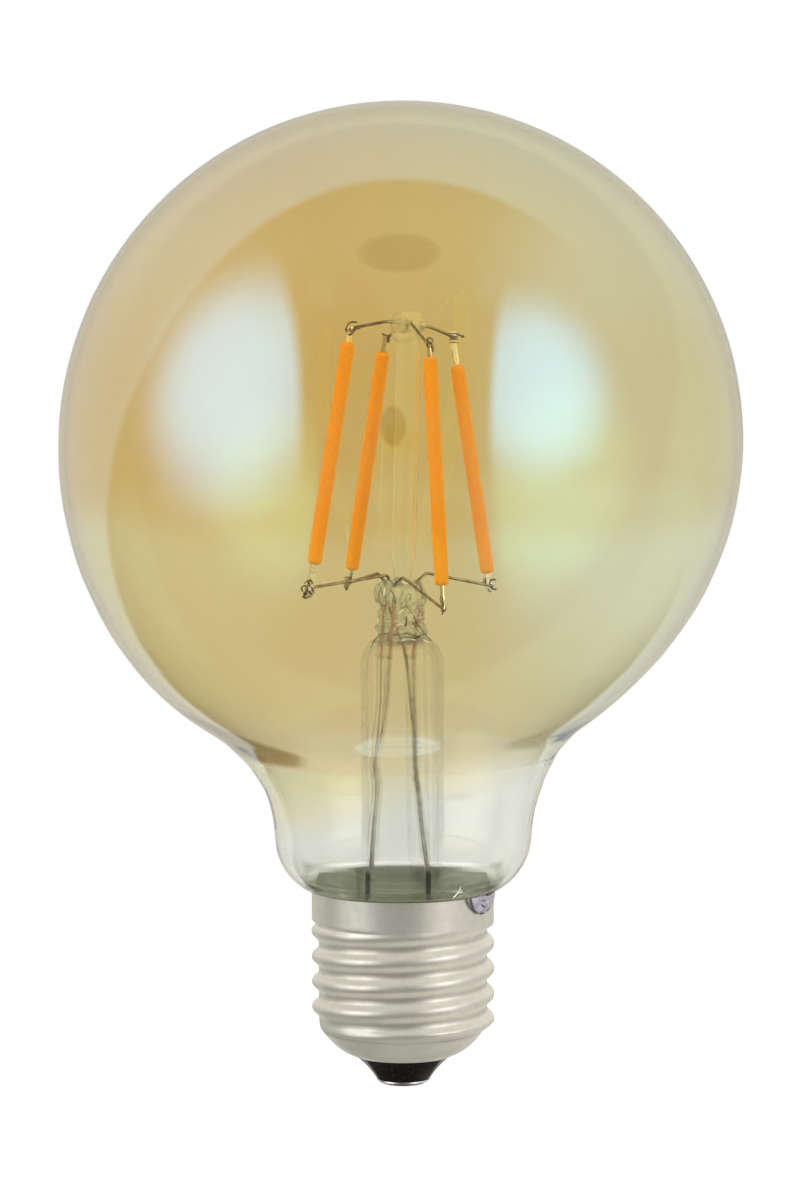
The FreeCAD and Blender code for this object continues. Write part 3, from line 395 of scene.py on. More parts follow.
pale_strip, tree, shader = worn_finish(
    "pale strip", (0.95, 0.94, 0.84), (0.60, 0.58, 0.48), 0.6, 0.3, 0.25, 0.4, 1500.0)
# Painted light: a weak emission, which also makes the pinch glints and the heel scratch shine.
fill(shader, {"Emission Color": (1.0, 0.98, 0.85, 1), "Emission Strength": 0.45})

dull_tag, *_ = worn_finish("dull tag", (0.62, 0.60, 0.48), (0.36, 0.34, 0.26), 0.7, 0.4, 0.4, 0.6, 1500.0)

# %% [markdown]
# The support wires are drawn nickel wire, darkened where they were welded. The seal wires are copper clad, so
# that they stick to the glass around them, and the leads below them are thin strands in dark sleeves.

# %% Wires inside the globe
support_metal, *_ = worn_finish(
    "drawn wire", (0.56, 0.50, 0.39), (0.27, 0.23, 0.165), 0.8, 1.0, 0.3, 0.5, 1200.0)
dress(support_metal, *[f"{end}_support_wire_{n}" for end in ("upper", "lower") for n in NUMBERS])

seal_metal, *_ = worn_finish(
    "copper clad wire", (0.62, 0.28, 0.2), (0.35, 0.14, 0.1), 0.6, 1.0, 0.3, 0.5)
dress(seal_metal, *[f"seal_wire_{n}" for n in NUMBERS])

lead_metal, *_ = worn_finish(
    "lead strands", (0.55, 0.51, 0.42), (0.28, 0.25, 0.19), 0.8, 1.0, 0.3, 0.5)
dress(lead_metal, *[f"lead_wire_{n}" for n in NUMBERS], "side_lead")

sleeve_skin, *_ = worn_finish(
    "lead sleeve", (0.035, 0.035, 0.028), (0.08, 0.08, 0.06), 0.6, 0.0, 0.4, 0.6)
dress(sleeve_skin, "lead_sleeve_left", "lead_sleeve_right")

# %% [markdown]
# ## Screw cap
#
# The cap is rolled from thin sheet. Rolling leaves fine lines around it. The thread's valleys are darker than
# its crests. How far a point is from the bulb's axis says whether it is on a crest or in a valley, so the darker
# colour follows the real thread, between the skirt above and the bowl below. The left side is a little darker:
# painted shade.

# %% Rolled cap metal
cap_metal, tree, shader = worn_finish(
    "rolled cap metal", (0.475, 0.457, 0.385), (0.43, 0.412, 0.345), 0.6, 0.64, 0.35, 0.43, 700.0)
where = parts(tree, place(tree))
across = maths(tree, "MULTIPLY", where["X"], where["X"])
out = maths(tree, "SQRT", maths(tree, "MULTIPLY_ADD", where["Y"], where["Y"], across))
under_skirt = step(tree, where["Z"], 0.0235, 0.0225)
over_bowl = step(tree, where["Z"], 0.0074, 0.0084)
valley = product(tree, step(tree, out, 0.0121, 0.01185), under_skirt, over_bowl)
worn = next(node for node in tree.nodes if node.type == "GROUP").outputs["Colour"]
# Painted shade: the left side a little darker.
painted_left_shade = product(tree, step(tree, where["X"], -0.001, -0.005), 0.2)
worn = blend_colours(tree, painted_left_shade, worn, (0.15, 0.145, 0.11))
# The valleys darker than the crests, between the skirt and the bowl.
darker_in_valleys = blend_colours(tree, product(tree, valley, 0.8), worn, (0.17, 0.165, 0.105))
fill(shader, {"Base Color": darker_in_valleys})

# %% [markdown]
# In the photograph the flanks of the thread are nearly white, because they mirror a white table and a white
# ceiling. A floor and a ceiling that bright would also show in the glass of the globe, where the photograph
# has none. So the metal gets a weak emission in its own colour, strongest where a face looks up or down.

# %% Light on the thread's flanks
faces = parts(tree, add(tree, "ShaderNodeNewGeometry").outputs["Normal"])
steepness = maths(tree, "ABSOLUTE", faces["Z"])
lit_flanks = maths(tree, "MULTIPLY_ADD", step(tree, steepness, 0.05, 0.75), 0.75, 0.25)
fill(shader, {"Emission Color": blend_colours(tree, lit_flanks, (0, 0, 0), darker_in_valleys), "Emission Strength": 0.52})
roughen(tree, shader, wear(tree, 300.0, 2.0, (0.1, 0.1, 3.0)), 0.06, 0.00005)
dress(cap_metal, "cap_shell")

# %% [markdown]
# Under the cap, black glass keeps the centre contact apart from the shell. The contact is a tinned eyelet,
# and the solder at the rim is dull and grainy where it cooled.

# %% Insulator, contact and solder
black_glass, tree, shader = finish_for("black glass", (0.012, 0.009, 0.007), roughness=0.12)
speckle = step(tree, wear(tree, 2200.0, 4.0), 0.5, 0.75)
fill(shader, {"Base Color": blend_colours(tree, speckle, (0.010, 0.008, 0.006), (0.03, 0.02, 0.014))})
fill(shader, {"Specular IOR Level": 0.14})
roughen(tree, shader, wear(tree, 500.0, 3.0), 0.25, 0.0001)
dress(black_glass, "cap_insulator")

contact_metal, *_ = worn_finish(
    "tinned contact", (0.83, 0.81, 0.76), (0.55, 0.52, 0.47), 0.5, 1.0, 0.18, 0.4, 1200.0)
dress(contact_metal, "centre_contact")

solder_skin, tree, shader = worn_finish(
    "dull solder", (0.56, 0.54, 0.58), (0.3, 0.29, 0.31), 0.7, 1.0, 0.35, 0.6, 1600.0)
roughen(tree, shader, wear(tree, 1500.0, 4.0), 0.6, 0.0002)
dress(solder_skin, "side_solder")

# %% [markdown]
# ## Inside the cap
#
# The driver can't be seen, but it is part of the bulb, so its pieces are finished too: plain colours of
# cement, board, shrink film, moulded case and lacquer, each with the shared wear.

# %% Driver finishes
for solid, title, clean, worn, amount, smooth, rough in (
        ("cap_cement", "cap cement", (0.5, 0.45, 0.36), (0.34, 0.3, 0.24), 0.7, 0.8, 0.95),
        ("driver_board", "white board", (0.8, 0.8, 0.74), (0.66, 0.65, 0.58), 0.5, 0.35, 0.5),
        ("smoothing_capacitor", "capacitor film", (0.02, 0.02, 0.025), (0.05, 0.05, 0.05), 0.6, 0.25, 0.4),
        ("bridge_rectifier", "rectifier case", (0.015, 0.015, 0.015), (0.05, 0.05, 0.05), 0.5, 0.5, 0.7),
        ("fuse_resistor", "resistor lacquer", (0.08, 0.15, 0.08), (0.14, 0.2, 0.12), 0.5, 0.3, 0.5)):
    dress(worn_finish(title, clean, worn, amount, 0.0, smooth, rough)[0], solid)

# %% [markdown]
# ## Helpers for details
#
# The solids stop at clean shapes. Wires that are bent round a tab, drops of weld and pressed glass are built
# here as meshes of their own. Places are written in millimetres, because that is the size of what they show,
# and turned into metres as the points are made.
#
# A curve with a round bevel could be a bent wire. Swept by hand, it gets ends of its own, and several wires can
# share one piece: a soft line runs through the given points, a ring stands across it at each step, and faces
# join each ring to the next.


# %% Sweeping a wire
def smooth_line(points, pieces=5):
    """More points along a soft curve that passes through each of the given ones."""
    ends = [points[0], *points, points[-1]]
    line = []
    for before, first, second, after in zip(ends, ends[1:], ends[2:], ends[3:]):
        a, b, c, d = (Vector(point) for point in (before, first, second, after))
        for number in range(pieces):
            t = number / pieces
            line.append(0.5 * (2 * b + t * (c - a) + t * t * (2 * a - 5 * b + 4 * c - d)
                               + t ** 3 * (3 * b - a - 3 * c + d)))
    return [*line, Vector(points[-1])]


def join_rings(shape, rings):
    """Faces between each ring of points and the next."""
    for first, second in zip(rings, rings[1:]):
        for side in range(len(first)):
            after = (side + 1) % len(first)
            shape.faces.new((first[side], first[after], second[after], second[side]))


def bend_wire(shape, points, radius, sides=8):
    """Sweeps a round wire along a soft line through points, in millimetres."""
    line = smooth_line(points)
    across = (line[1] - line[0]).orthogonal().normalized()
    rings = []
    for number, point in enumerate(line):
        along = (line[min(number + 1, len(line) - 1)] - line[max(number - 1, 0)]).normalized()
        across = (across - along * across.dot(along)).normalized()
        up = along.cross(across)
        thick = radius * (0.6 if number in (0, len(line) - 1) else 1.0)
        rings.append([shape.verts.new((point + thick * (math.cos(turn) * across + math.sin(turn) * up)) * MM)
                      for turn in (2 * math.pi * side / sides for side in range(sides))])
    join_rings(shape, rings)
    shape.faces.new(reversed(rings[0]))
    shape.faces.new(rings[-1])


# %% [markdown]
# A drop is a ball pushed in and out by a smooth noise, so no two are alike, and the same seed gives the same
# drop each time. Each piece gets its finish as it is made, and is fixed to the bulb's one body.

# %% Drops and pieces
def drop(shape, middle, size, dents=0.3, seed=0.0, fine=3):
    """A drop of melted metal or glass: a ball with its own width, depth and height, dented by a noise."""
    ball = bmesh.ops.create_icosphere(shape, subdivisions=fine, radius=1.0)
    for vert in ball["verts"]:
        swell = 1 + dents * noise.noise(vert.co * 1.6 + Vector((seed, 2 * seed, 0)))
        vert.co = Vector(m + swell * s * c for m, s, c in zip(middle, size, vert.co)) * MM


def finish_piece(name, shape, material):
    """Makes an object of a shape, with its finish, and lets it ride on the bulb."""
    mesh = bpy.data.meshes.new(name)
    shape.to_mesh(mesh)
    shape.free()
    for face in mesh.polygons:
        face.use_smooth = True
    mesh.materials.append(material)
    piece = bpy.data.objects.new(name, mesh)
    scene.collection.objects.link(piece)
    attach(piece, "root")
    print(name, "faces", len(mesh.polygons))
    return piece


# %% [markdown]
# Drops that overlap are still separate balls, with seams inside the glass. A voxel remesh takes only the outer
# skin of all of them, and a few passes of smoothing round off the creases, as melting does.

# %% Melting drops into one
def melt_together(piece, grain, passes):
    """Runs touching drops into one skin: remesh at a grain in millimetres, then smooth."""
    skin = piece.modifiers.new("skin", "REMESH")
    skin.mode = "VOXEL"
    skin.voxel_size = grain * MM
    soften = piece.modifiers.new("soften", "SMOOTH")
    soften.iterations = passes
    bpy.context.view_layer.update()
    melted = bpy.data.meshes.new_from_object(piece.evaluated_get(bpy.context.evaluated_depsgraph_get()))
    piece.modifiers.clear()
    piece.data = melted
    for face in melted.polygons:
        face.use_smooth = True
    print(piece.name, "melted faces", len(melted.polygons))


# %% [markdown]
# ## The globe as it was blown
#
# The solid is true about its axis. The real globe was blown by hand work and hangs a little askew: its
# shoulder stands about a millimetre and a half further left than its neck. A lattice could bend it, but a list
# of levels, each with how far the glass stands to the right there, says it more exactly. A copy of the solid's
# mesh, with each point moved by that list, takes the solid's place. It is cut level where the lustre ends, so
# that each side of the cut has its own glass.

# %% How the glass leans
LEAN = ((28.0, 0.0), (36.0, 0.1), (42.0, 0.1), (45.5, -0.25), (48.5, -0.8), (52.0, -1.4), (54.5, -1.45),
        (57.5, -1.4), (63.0, -1.05), (71.0, -0.6), (82.0, -0.25), (93.0, -0.05), (110.0, 0.1), (128.0, 0.2),
        (141.0, 0.2))


def lean_at(level):
    """How far right the glass stands at a level, in metres."""
    line = [(z * MM, x * MM) for z, x in LEAN]
    for (low, from_x), (high, to_x) in zip(line, line[1:]):
        if level <= high:
            share = min(max((level - low) / (high - low), 0.0), 1.0)
            share = share * share * (3 - 2 * share)
            return from_x + (to_x - from_x) * share
    return line[-1][1]


print("lean at the shoulder", round(lean_at(54.5 * MM), 5))

# %% The leaning globe
blown = bmesh.new()
blown.from_mesh(nodes["glass_globe"].data)
bmesh.ops.remove_doubles(blown, verts=blown.verts, dist=0.0005 * MM)
bmesh.ops.bisect_plane(blown, geom=[*blown.verts, *blown.edges, *blown.faces], plane_co=(0, 0, LUSTRE_END),
                       plane_no=(0, 0, 1), dist=1e-7)
for vert in blown.verts:
    vert.co.x += lean_at(vert.co.z)
for face in blown.faces:
    face.material_index = 1 if face.calc_center_median().z < LUSTRE_END else 0
blown_globe = finish_piece("blown_globe", blown, lustre)
blown_globe.data.materials.append(bare)
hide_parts("glass_globe")

# %% [markdown]
# ## The pressed glass of the stem
#
# The top of the stem was heated and pinched round the wires with tongs. That leaves lumps and folds, which
# catch the light far more than the clean form in the solid. Sculpting would do it too, but a few overlapping
# drops, run into one skin, give the same lumps each time the script runs.

# %% Lumps of the pinch
pinch_shape = bmesh.new()
PINCH_DROPS = (
    ((-2.15, 0.0, 70.4), (1.7, 2.5, 1.9)), ((-0.5, -0.4, 70.1), (1.8, 2.7, 2.3)),
    ((1.5, 0.1, 70.3), (2.0, 2.5, 1.95)), ((-0.8, 0.0, 67.3), (2.6, 2.5, 2.2)),
    ((1.6, -0.3, 67.6), (1.75, 2.4, 1.7)), ((-0.2, 0.0, 65.4), (3.6, 3.0, 1.5)),
    ((1.2, -0.3, 64.0), (2.5, 2.8, 0.8)), ((-1.2, 0.1, 63.8), (2.7, 2.8, 0.9)),
)
for number, (middle, size) in enumerate(PINCH_DROPS):
    drop(pinch_shape, middle, size, 0.35, number * 1.7, 4)

# %% [markdown]
# Glass that was folded while soft holds fine seams and looks milky. Dark lines drawn where a noise crosses its
# middle value stand for the seams, and their darkness is painted shade. A deep relief bends what is seen
# through it.

# %% Folded glass
folded_glass, tree, shader = finish_for("folded glass", (0.9, 0.96, 0.93), roughness=0.03)
fill(shader, {"Transmission Weight": 0.74, "IOR": 1.4, "Alpha": 0.82})
swirl = wear(tree, 420.0, 1.5, (1, 1, 0.7))
crease = maths(tree, "ABSOLUTE", maths(tree, "SUBTRACT", swirl, 0.5))
fold_shade = step(tree, crease, 0.016, 0.005)
milky = blend_colours(tree, step(tree, wear(tree, 260.0, 2.0), 0.4, 0.65), (0.80, 0.93, 0.91), (0.95, 0.99, 0.97))
# The fold lines are painted shade: dark grey-green on the milky glass.
fill(shader, {"Base Color": blend_colours(tree, fold_shade, milky, (0.20, 0.23, 0.18))})
roughen(tree, shader, swirl, 0.8, 0.0008)
let_lamps_through(tree, shader, (0.9, 0.93, 0.9))
pinch_lumps = finish_piece("pinch_lumps", pinch_shape, folded_glass)
melt_together(pinch_lumps, 0.2, 3)

# %% [markdown]
# The deepest folds show as short dark lines, with bright glints beside them, and two of the copper-clad wires
# lie close under the front. Relief can't draw lines this crisp, so they are thin threads laid on the front of
# the pinch: dark ones as painted shade in the folds, and pale ones that glow weakly as painted highlights. Only
# their places to the right and upwards are listed, since all of a kind lie at one depth.

# %% Sharp folds
def front_threads(shape, lines, depth, thick):
    """Threads on the front of the pinch, each along its own line of places to the right and upwards."""
    for line in lines:
        bend_wire(shape, [(x, -depth, z) for x, z in line], thick, 6)


# Dark threads: painted shade in the deepest folds.
fold_shadow, *_ = worn_finish(
    "fold shadow", (0.05, 0.055, 0.042), (0.16, 0.17, 0.13), 0.7, 0.0, 0.1, 0.3, 1500.0)
DEEP_FOLDS = (
    ((-0.95, 70.2), (-0.92, 69.92), (-0.85, 69.43), (-0.9, 69.2)), ((0.57, 67.44), (0.64, 66.73), (0.5, 65.94)),
    ((0.43, 64.38), (1.56, 64.24), (2.69, 64.52)),
)
FINE_FOLDS = (
    ((-3.32, 64.74), (-2.4, 64.95), (-0.71, 64.81), (0.71, 64.98), (1.84, 64.66), (2.52, 64.52)),
    ((1.7, 67.58), (2.12, 66.3), (3.11, 65.09), (4.2, 63.9)), ((1.41, 66.58), (2.26, 65.45), (2.83, 64.59)),
    ((-3.25, 64.81), (-4.0, 63.8), (-4.4, 62.9)), ((2.61, 71.7), (2.97, 70.7), (2.83, 69.71)),
    ((-2.82, 71.7), (-3.25, 70.56), (-3.11, 69.57), (-2.68, 68.72)),
    ((-1.55, 71.13), (-1.13, 70.42), (-1.27, 69.71)), ((-0.14, 68.29), (0.43, 68.86), (0.99, 68.43)),
)
folds = bmesh.new()
front_threads(folds, DEEP_FOLDS, 2.85, 0.11)
front_threads(folds, FINE_FOLDS, 2.85, 0.06)
finish_piece("pinch_fold_shade", folds, fold_shadow)

# %% Copper in the pinch
copper = bmesh.new()
for depth, thick, line in ((2.75, 0.13, ((-2.62, 68.9), (-2.68, 66.5), (-2.78, 64.0), (-2.83, 61.9))),
                           (2.8, 0.17, ((-0.99, 69.5), (-1.27, 66.9), (-1.56, 64.0), (-1.75, 61.9)))):
    bend_wire(copper, [(x, -depth, z) for x, z in line], thick)
pale_copper, *_ = worn_finish("copper under glass", (0.74, 0.46, 0.34), (0.5, 0.29, 0.2), 0.6, 0.5, 0.3, 0.5)
finish_piece("pinch_copper", copper, pale_copper)

# %% Painted glints
# Painted highlights: pale threads that glow weakly beside the folds.
GLINTS = (
    ((0.0, 72.3), (0.57, 72.1), (1.27, 72.2)), ((-0.14, 63.9), (0.85, 64.14), (1.84, 64.0)),
    ((-0.85, 66.0), (-0.28, 66.3), (0.28, 66.16)), ((-0.42, 67.86), (0.0, 68.22), (0.1, 68.5)),
    ((-2.4, 71.41), (-2.54, 70.7), (-2.5, 70.3)), ((3.0, 64.1), (3.5, 63.8), (3.9, 63.6)),
)
glints = bmesh.new()
front_threads(glints, GLINTS, 2.9, 0.1)
finish_piece("pinch_glints", glints, pale_strip)

# %% [markdown]
# The rod's top was melted into a button, to take the four upper wires. It is made as the pinch is, from
# drops, but it is rounder and cloudier, because it was only heated and not pressed.

# %% Melted top of the rod
button_shape = bmesh.new()
for number, (middle, size) in enumerate((
        ((0.9, 0.1, 108.7), (2.0, 2.0, 1.6)), ((2.1, 0.3, 108.8), (1.3, 1.5, 1.3)),
        ((0.0, 0.0, 108.3), (1.6, 2.0, 1.7)), ((0.4, 0.1, 107.2), (1.8, 1.9, 1.3)))):
    drop(button_shape, middle, size, 0.2, number * 2.3, 4)
cloudy_glass, tree, shader = finish_for("cloudy glass", (0.9, 0.9, 0.76), roughness=0.2)
fill(shader, {"Transmission Weight": 0.72, "IOR": 1.22, "Alpha": 0.5})
cloud = step(tree, wear(tree, 500.0, 3.0), 0.35, 0.7)
fill(shader, {"Base Color": blend_colours(tree, cloud, (0.88, 0.89, 0.74), (0.95, 0.96, 0.86))})
roughen(tree, shader, wear(tree, 300.0, 2.0), 0.4, 0.0004)
let_lamps_through(tree, shader, (0.9, 0.92, 0.85))
button_lumps = finish_piece("button_lumps", button_shape, cloudy_glass)
melt_together(button_lumps, 0.2, 4)

# %% [markdown]
# ## How the wires hold the filaments
#
# Each support wire is bent or clamped round its filament's tab and then welded. No two look alike, because it
# was done by hand: an open loop, a drop of weld, a small eye, and four turns of wire at the top, and a crumpled
# knot, a pale clip, a tag and a hook at the bottom.

# %% Upper wire ends
loop = bmesh.new()
bend_wire(loop, ((-5.6, -2.95, 108.22), (-6.5, -3.0, 107.98), (-7.3, -3.2, 107.75), (-7.65, -3.2, 108.3),
                 (-7.0, -3.1, 109.0), (-6.1, -3.0, 108.95)), 0.13)
bend_wire(loop, ((-6.0, -3.3, 108.4), (-6.6, -3.4, 107.7), (-7.1, -3.35, 107.25), (-7.6, -3.2, 107.55),
                 (-7.75, -2.7, 108.1), (-7.1, -2.6, 108.4)), 0.12)
drop(loop, (-7.3, -3.1, 107.9), (0.32, 0.3, 0.4), 0.5, 1.0)
finish_piece("upper_loop_1", loop, support_metal)

weld_drop = bmesh.new()
drop(weld_drop, (-1.85, 7.35, 106.1), (0.34, 0.35, 0.55), 0.5, 3.0)
bend_wire(weld_drop, ((-2.7, 7.4, 106.85), (-2.3, 7.4, 106.65), (-1.9, 7.35, 106.3), (-1.75, 7.35, 105.5)), 0.13)
finish_piece("upper_weld_2", weld_drop, support_metal)

eye = bmesh.new()
bend_wire(eye, ((3.3, -7.1, 106.7), (3.75, -7.5, 106.35), (4.25, -7.6, 106.25), (4.4, -7.5, 106.75),
                (3.95, -7.3, 106.95), (3.5, -7.45, 106.6), (3.65, -7.65, 105.95), (4.1, -7.6, 105.6)), 0.13)
bend_wire(eye, ((4.2, -7.4, 106.3), (4.45, -7.4, 105.7), (4.4, -7.4, 105.0)), 0.16)
drop(eye, (4.25, -7.4, 105.8), (0.28, 0.3, 0.5), 0.4, 5.0)
finish_piece("upper_eye_3", eye, support_metal)

turns = bmesh.new()
for number in range(4):
    level = 107.05 - 0.42 * number
    middle_x = 7.42 + 0.03 * number
    bend_wire(turns, ((middle_x + 0.55, 2.75, level - 0.1), (middle_x + 0.5, 2.45, level),
                      (middle_x - 0.5, 2.5, level + 0.05), (middle_x - 0.58, 3.0, level),
                      (middle_x - 0.45, 3.5, level - 0.08), (middle_x + 0.5, 3.5, level - 0.15)), 0.075, 6)
bend_wire(turns, ((7.6, 3.0, 107.0), (8.2, 3.02, 106.85), (8.75, 3.05, 106.62)), 0.12)
drop(turns, (8.75, 3.05, 106.62), (0.3, 0.2, 0.2), 0.3, 7.0)
finish_piece("upper_turns_4", turns, support_metal)

# %% [markdown]
# The right filament's tab ends in a wider strip, under the turns of wire. Its width changes from level to
# level, so it is built from rings of eight points, a flat bar with its corners cut, and each ring has its own
# middle and half width.

# %% The wide strip under the turns
strip = bmesh.new()
# Middle to the right, level, half width
STRIP = ((7.38, 107.35, 0.46), (7.42, 106.4, 0.5), (7.5, 105.2, 0.42),
         (7.72, 104.2, 0.36), (7.9, 103.2, 0.4), (7.98, 102.7, 0.2))
CUT_CORNERS = ((-1, -0.6), (-0.6, -1), (0.6, -1), (1, -0.6), (1, 0.6), (0.6, 1), (-0.6, 1), (-1, 0.6))
STRIP_DEPTH, STRIP_HALF_THICK, STRIP_WAVE = 3.05, 0.22, 0.03
rings = []
for middle_x, level, half in STRIP:
    middle_y = STRIP_DEPTH - STRIP_WAVE * math.sin(level * 3)
    rings.append([strip.verts.new(Vector((middle_x + half * x, middle_y + STRIP_HALF_THICK * y, level)) * MM)
                  for x, y in CUT_CORNERS])
join_rings(strip, rings)
strip.faces.new(rings[0])
strip.faces.new(reversed(rings[-1]))
bmesh.ops.recalc_face_normals(strip, faces=strip.faces)
finish_piece("upper_strip_4", strip, pale_strip)

# %% [markdown]
# At the bottom the left wire is crumpled into a knot round its tab: four drops of weld with short bent ends
# through and around them.

# %% Knot at the lower left
knot = bmesh.new()
KNOT_DROPS = ((-13.3, -5.6, 71.6), (-13.0, -5.7, 72.2), (-13.5, -5.5, 71.0), (-12.9, -5.55, 71.1))
for number, middle in enumerate(KNOT_DROPS):
    drop(knot, middle, (0.24, 0.3, 0.26), 0.9, 2.1 * number)
for thick, line in (
        (0.12, ((-12.5, -5.5, 72.3), (-12.8, -5.8, 72.9), (-13.2, -5.6, 72.5), (-12.9, -5.3, 72.0))),
        (0.12, ((-13.9, -5.5, 71.2), (-14.1, -5.6, 71.8), (-13.6, -5.8, 72.1), (-13.2, -5.6, 71.9))),
        (0.12, ((-13.6, -5.5, 70.9), (-13.9, -5.6, 70.5), (-13.4, -5.7, 70.35), (-13.0, -5.6, 70.7))),
        (0.12, ((-12.4, -5.4, 71.0), (-12.5, -5.7, 71.6), (-12.8, -5.6, 71.9))),
        (0.1, ((-13.0, -5.6, 70.4), (-12.6, -5.8, 70.9), (-13.2, -5.9, 71.4), (-13.8, -5.7, 71.0),
               (-13.5, -5.5, 70.5))),
        (0.1, ((-13.7, -5.6, 72.4), (-13.2, -5.8, 72.9), (-12.9, -5.9, 72.3), (-13.5, -5.8, 71.8)))):
    bend_wire(knot, line, thick)
finish_piece("lower_knot_1", knot, support_metal)

# %% [markdown]
# The other three ends are simpler. At the back left a dull clip holds the tab, in the middle the wire is folded
# once round it, and on the right it ends in an open hook.

# %% Clip, folded end and hook
clip = bmesh.new()
drop(clip, (-7.9, 12.7, 70.7), (0.46, 0.55, 1.0), 0.25, 4.0)
bend_wire(clip, ((-7.75, 12.9, 70.0), (-7.95, 12.95, 69.6), (-8.1, 12.9, 69.75)), 0.15)
finish_piece("lower_clip_2", clip, dull_tag)

tag = bmesh.new()
drop(tag, (5.65, -13.2, 70.3), (0.25, 0.28, 0.85), 0.5, 6.0)
drop(tag, (5.75, -13.15, 69.4), (0.34, 0.3, 0.28), 0.5, 8.0)
bend_wire(tag, ((5.5, -13.0, 71.4), (5.35, -13.2, 70.8), (5.6, -13.4, 70.4), (5.95, -13.2, 70.2)), 0.11)
bend_wire(tag, ((6.05, -13.1, 69.9), (6.1, -13.2, 69.4), (5.7, -13.3, 69.0), (5.6, -13.2, 68.75)), 0.11)
finish_piece("lower_tag_3", tag, support_metal)

hook = bmesh.new()
drop(hook, (11.95, 5.5, 71.45), (0.32, 0.25, 0.6), 0.5, 9.0)
bend_wire(hook, ((13.45, 5.4, 71.65), (12.95, 5.45, 71.75), (12.6, 5.5, 71.35), (12.65, 5.5, 70.75),
                 (13.05, 5.45, 70.4), (13.6, 5.4, 70.35)), 0.13)
bend_wire(hook, ((11.9, 5.5, 71.0), (12.3, 5.45, 70.75), (12.4, 5.5, 70.2), (12.75, 5.45, 70.0)), 0.12)
finish_piece("lower_hook_4", hook, support_metal)

# %% [markdown]
# ## Olive band over the rim
#
# Just above the cap's rim the glass looks dark olive. The stem's foot is melted to the neck there. Clear glass
# there would show the bright inside of the cap, so a thin dark skin over the foot carries the colour. It is a
# turned shape, with a ring of points for each radius and level. At the left and the right, where it meets the
# neck, its shoulder climbs a little.

# %% Skin over the foot
WING = 1.05
TURNED_SIDES = 128
# Radius, level, climb at the left and the right
SKIN = ((5.4, 29.5, 0), (6.3, 29.48, 0), (7.15, 29.46, 0), (9.5, 29.45, 0), (11.3, 29.43, 0),
        (12.0, 29.2, WING), (12.36, 28.65, 0.5 * WING), (12.37, 27.2, 0), (12.37, 24.3, 0))


def turned_ring(shape, radius, level, climb, sides):
    """A ring of points about the axis, in millimetres, which may climb at the left and the right."""
    turns = (2 * math.pi * side / sides for side in range(sides))
    return [shape.verts.new(Vector((radius * math.cos(turn), radius * math.sin(turn),
                                    level + climb * math.cos(turn) ** 8)) * MM) for turn in turns]


band = bmesh.new()
join_rings(band, [turned_ring(band, radius, level, climb, TURNED_SIDES) for radius, level, climb in SKIN])
bmesh.ops.recalc_face_normals(band, faces=band.faces)

# %% [markdown]
# Smears of two olives run round the seal. Its top is a little lighter than its side: painted light on the face
# that looks up. The sleeves of the leads stand in it as two dark bars on its front.

# %% Olive seal
olive, tree, shader = finish_for("olive seal", (0.2, 0.22, 0.14), roughness=0.35)
fill(shader, {"Specular IOR Level": 0.08})
where = parts(tree, place(tree))
smears = wear(tree, 260.0, 3.0, (1, 1, 0.5))
side_colour = blend_colours(tree, smears, (0.058, 0.07, 0.038), (0.10, 0.115, 0.07))
lit_top_colour = blend_colours(tree, smears, (0.065, 0.083, 0.036), (0.11, 0.133, 0.068))
# Painted light: the top a little lighter than the side.
seal_colour = blend_colours(tree, step(tree, where["Z"], 0.0280, 0.0292), side_colour, lit_top_colour)
in_front = step(tree, where["Y"], 0.0, -0.001)
for sleeve_x in SLEEVE_PLACES:
    bar = product(tree, sleeve_bar(tree, where["X"], sleeve_x, 0.00042, 0.00028), in_front)
    seal_colour = blend_colours(tree, bar, seal_colour, (0.022, 0.022, 0.015))
fill(shader, {"Base Color": seal_colour})
finish_piece("seal_skin", band, olive)

# %% [markdown]
# Inside the tube the same seal shows as a shallow dish. It closes the middle that the skin leaves open.

# %% Dish inside the tube
DISH_SIDES = 64
flare_floor = bmesh.new()
lowest = flare_floor.verts.new(Vector((0, 0, 29.0)) * MM)
DISH = ((6.0, 29.42), (4.2, 29.25), (2.5, 29.15))
rings = [turned_ring(flare_floor, radius, level, 0, DISH_SIDES) for radius, level in DISH]
join_rings(flare_floor, rings)
for side in range(DISH_SIDES):
    flare_floor.faces.new((lowest, rings[-1][side], rings[-1][(side + 1) % DISH_SIDES]))
finish_piece("flare_floor", flare_floor, olive)

# %% [markdown]
# ## Solder at the rim
#
# The solder was dabbed on by hand. Burnt flux stands round it as a broken dark line. Along the rim a dark
# line is painted shade in the gap between the cap and the glass, and a scratch from the iron shines on the glass
# beside it, as a painted highlight. Thin beads of wire, laid on the skirt and on the heel, draw these marks.

# %% Burnt flux, and painted shade in the gap
flux_and_gap_shade, *_ = worn_finish("burnt flux", (0.03, 0.026, 0.02), (0.12, 0.11, 0.09), 0.8, 0.0, 0.4, 0.7, 2500.0)
FLUX_EDGE = ((8.94, -9.68, 28.1), (9.05, -9.58, 27.7), (9.3, -9.34, 27.1), (9.62, -9.0, 26.6), (10.16, -8.4, 26.0),
             (10.6, -7.82, 25.7), (11.0, -7.25, 25.55), (11.5, -6.42, 25.5), (11.95, -5.55, 25.7), (12.35, -4.6, 26.2))
flux = bmesh.new()
for first, last, thick in ((0, 2, 0.11), (2, 4, 0.09), (4, 5, 0.12), (6, 7, 0.1), (8, 9, 0.09)):
    bend_wire(flux, FLUX_EDGE[first:last + 1], thick, 6)
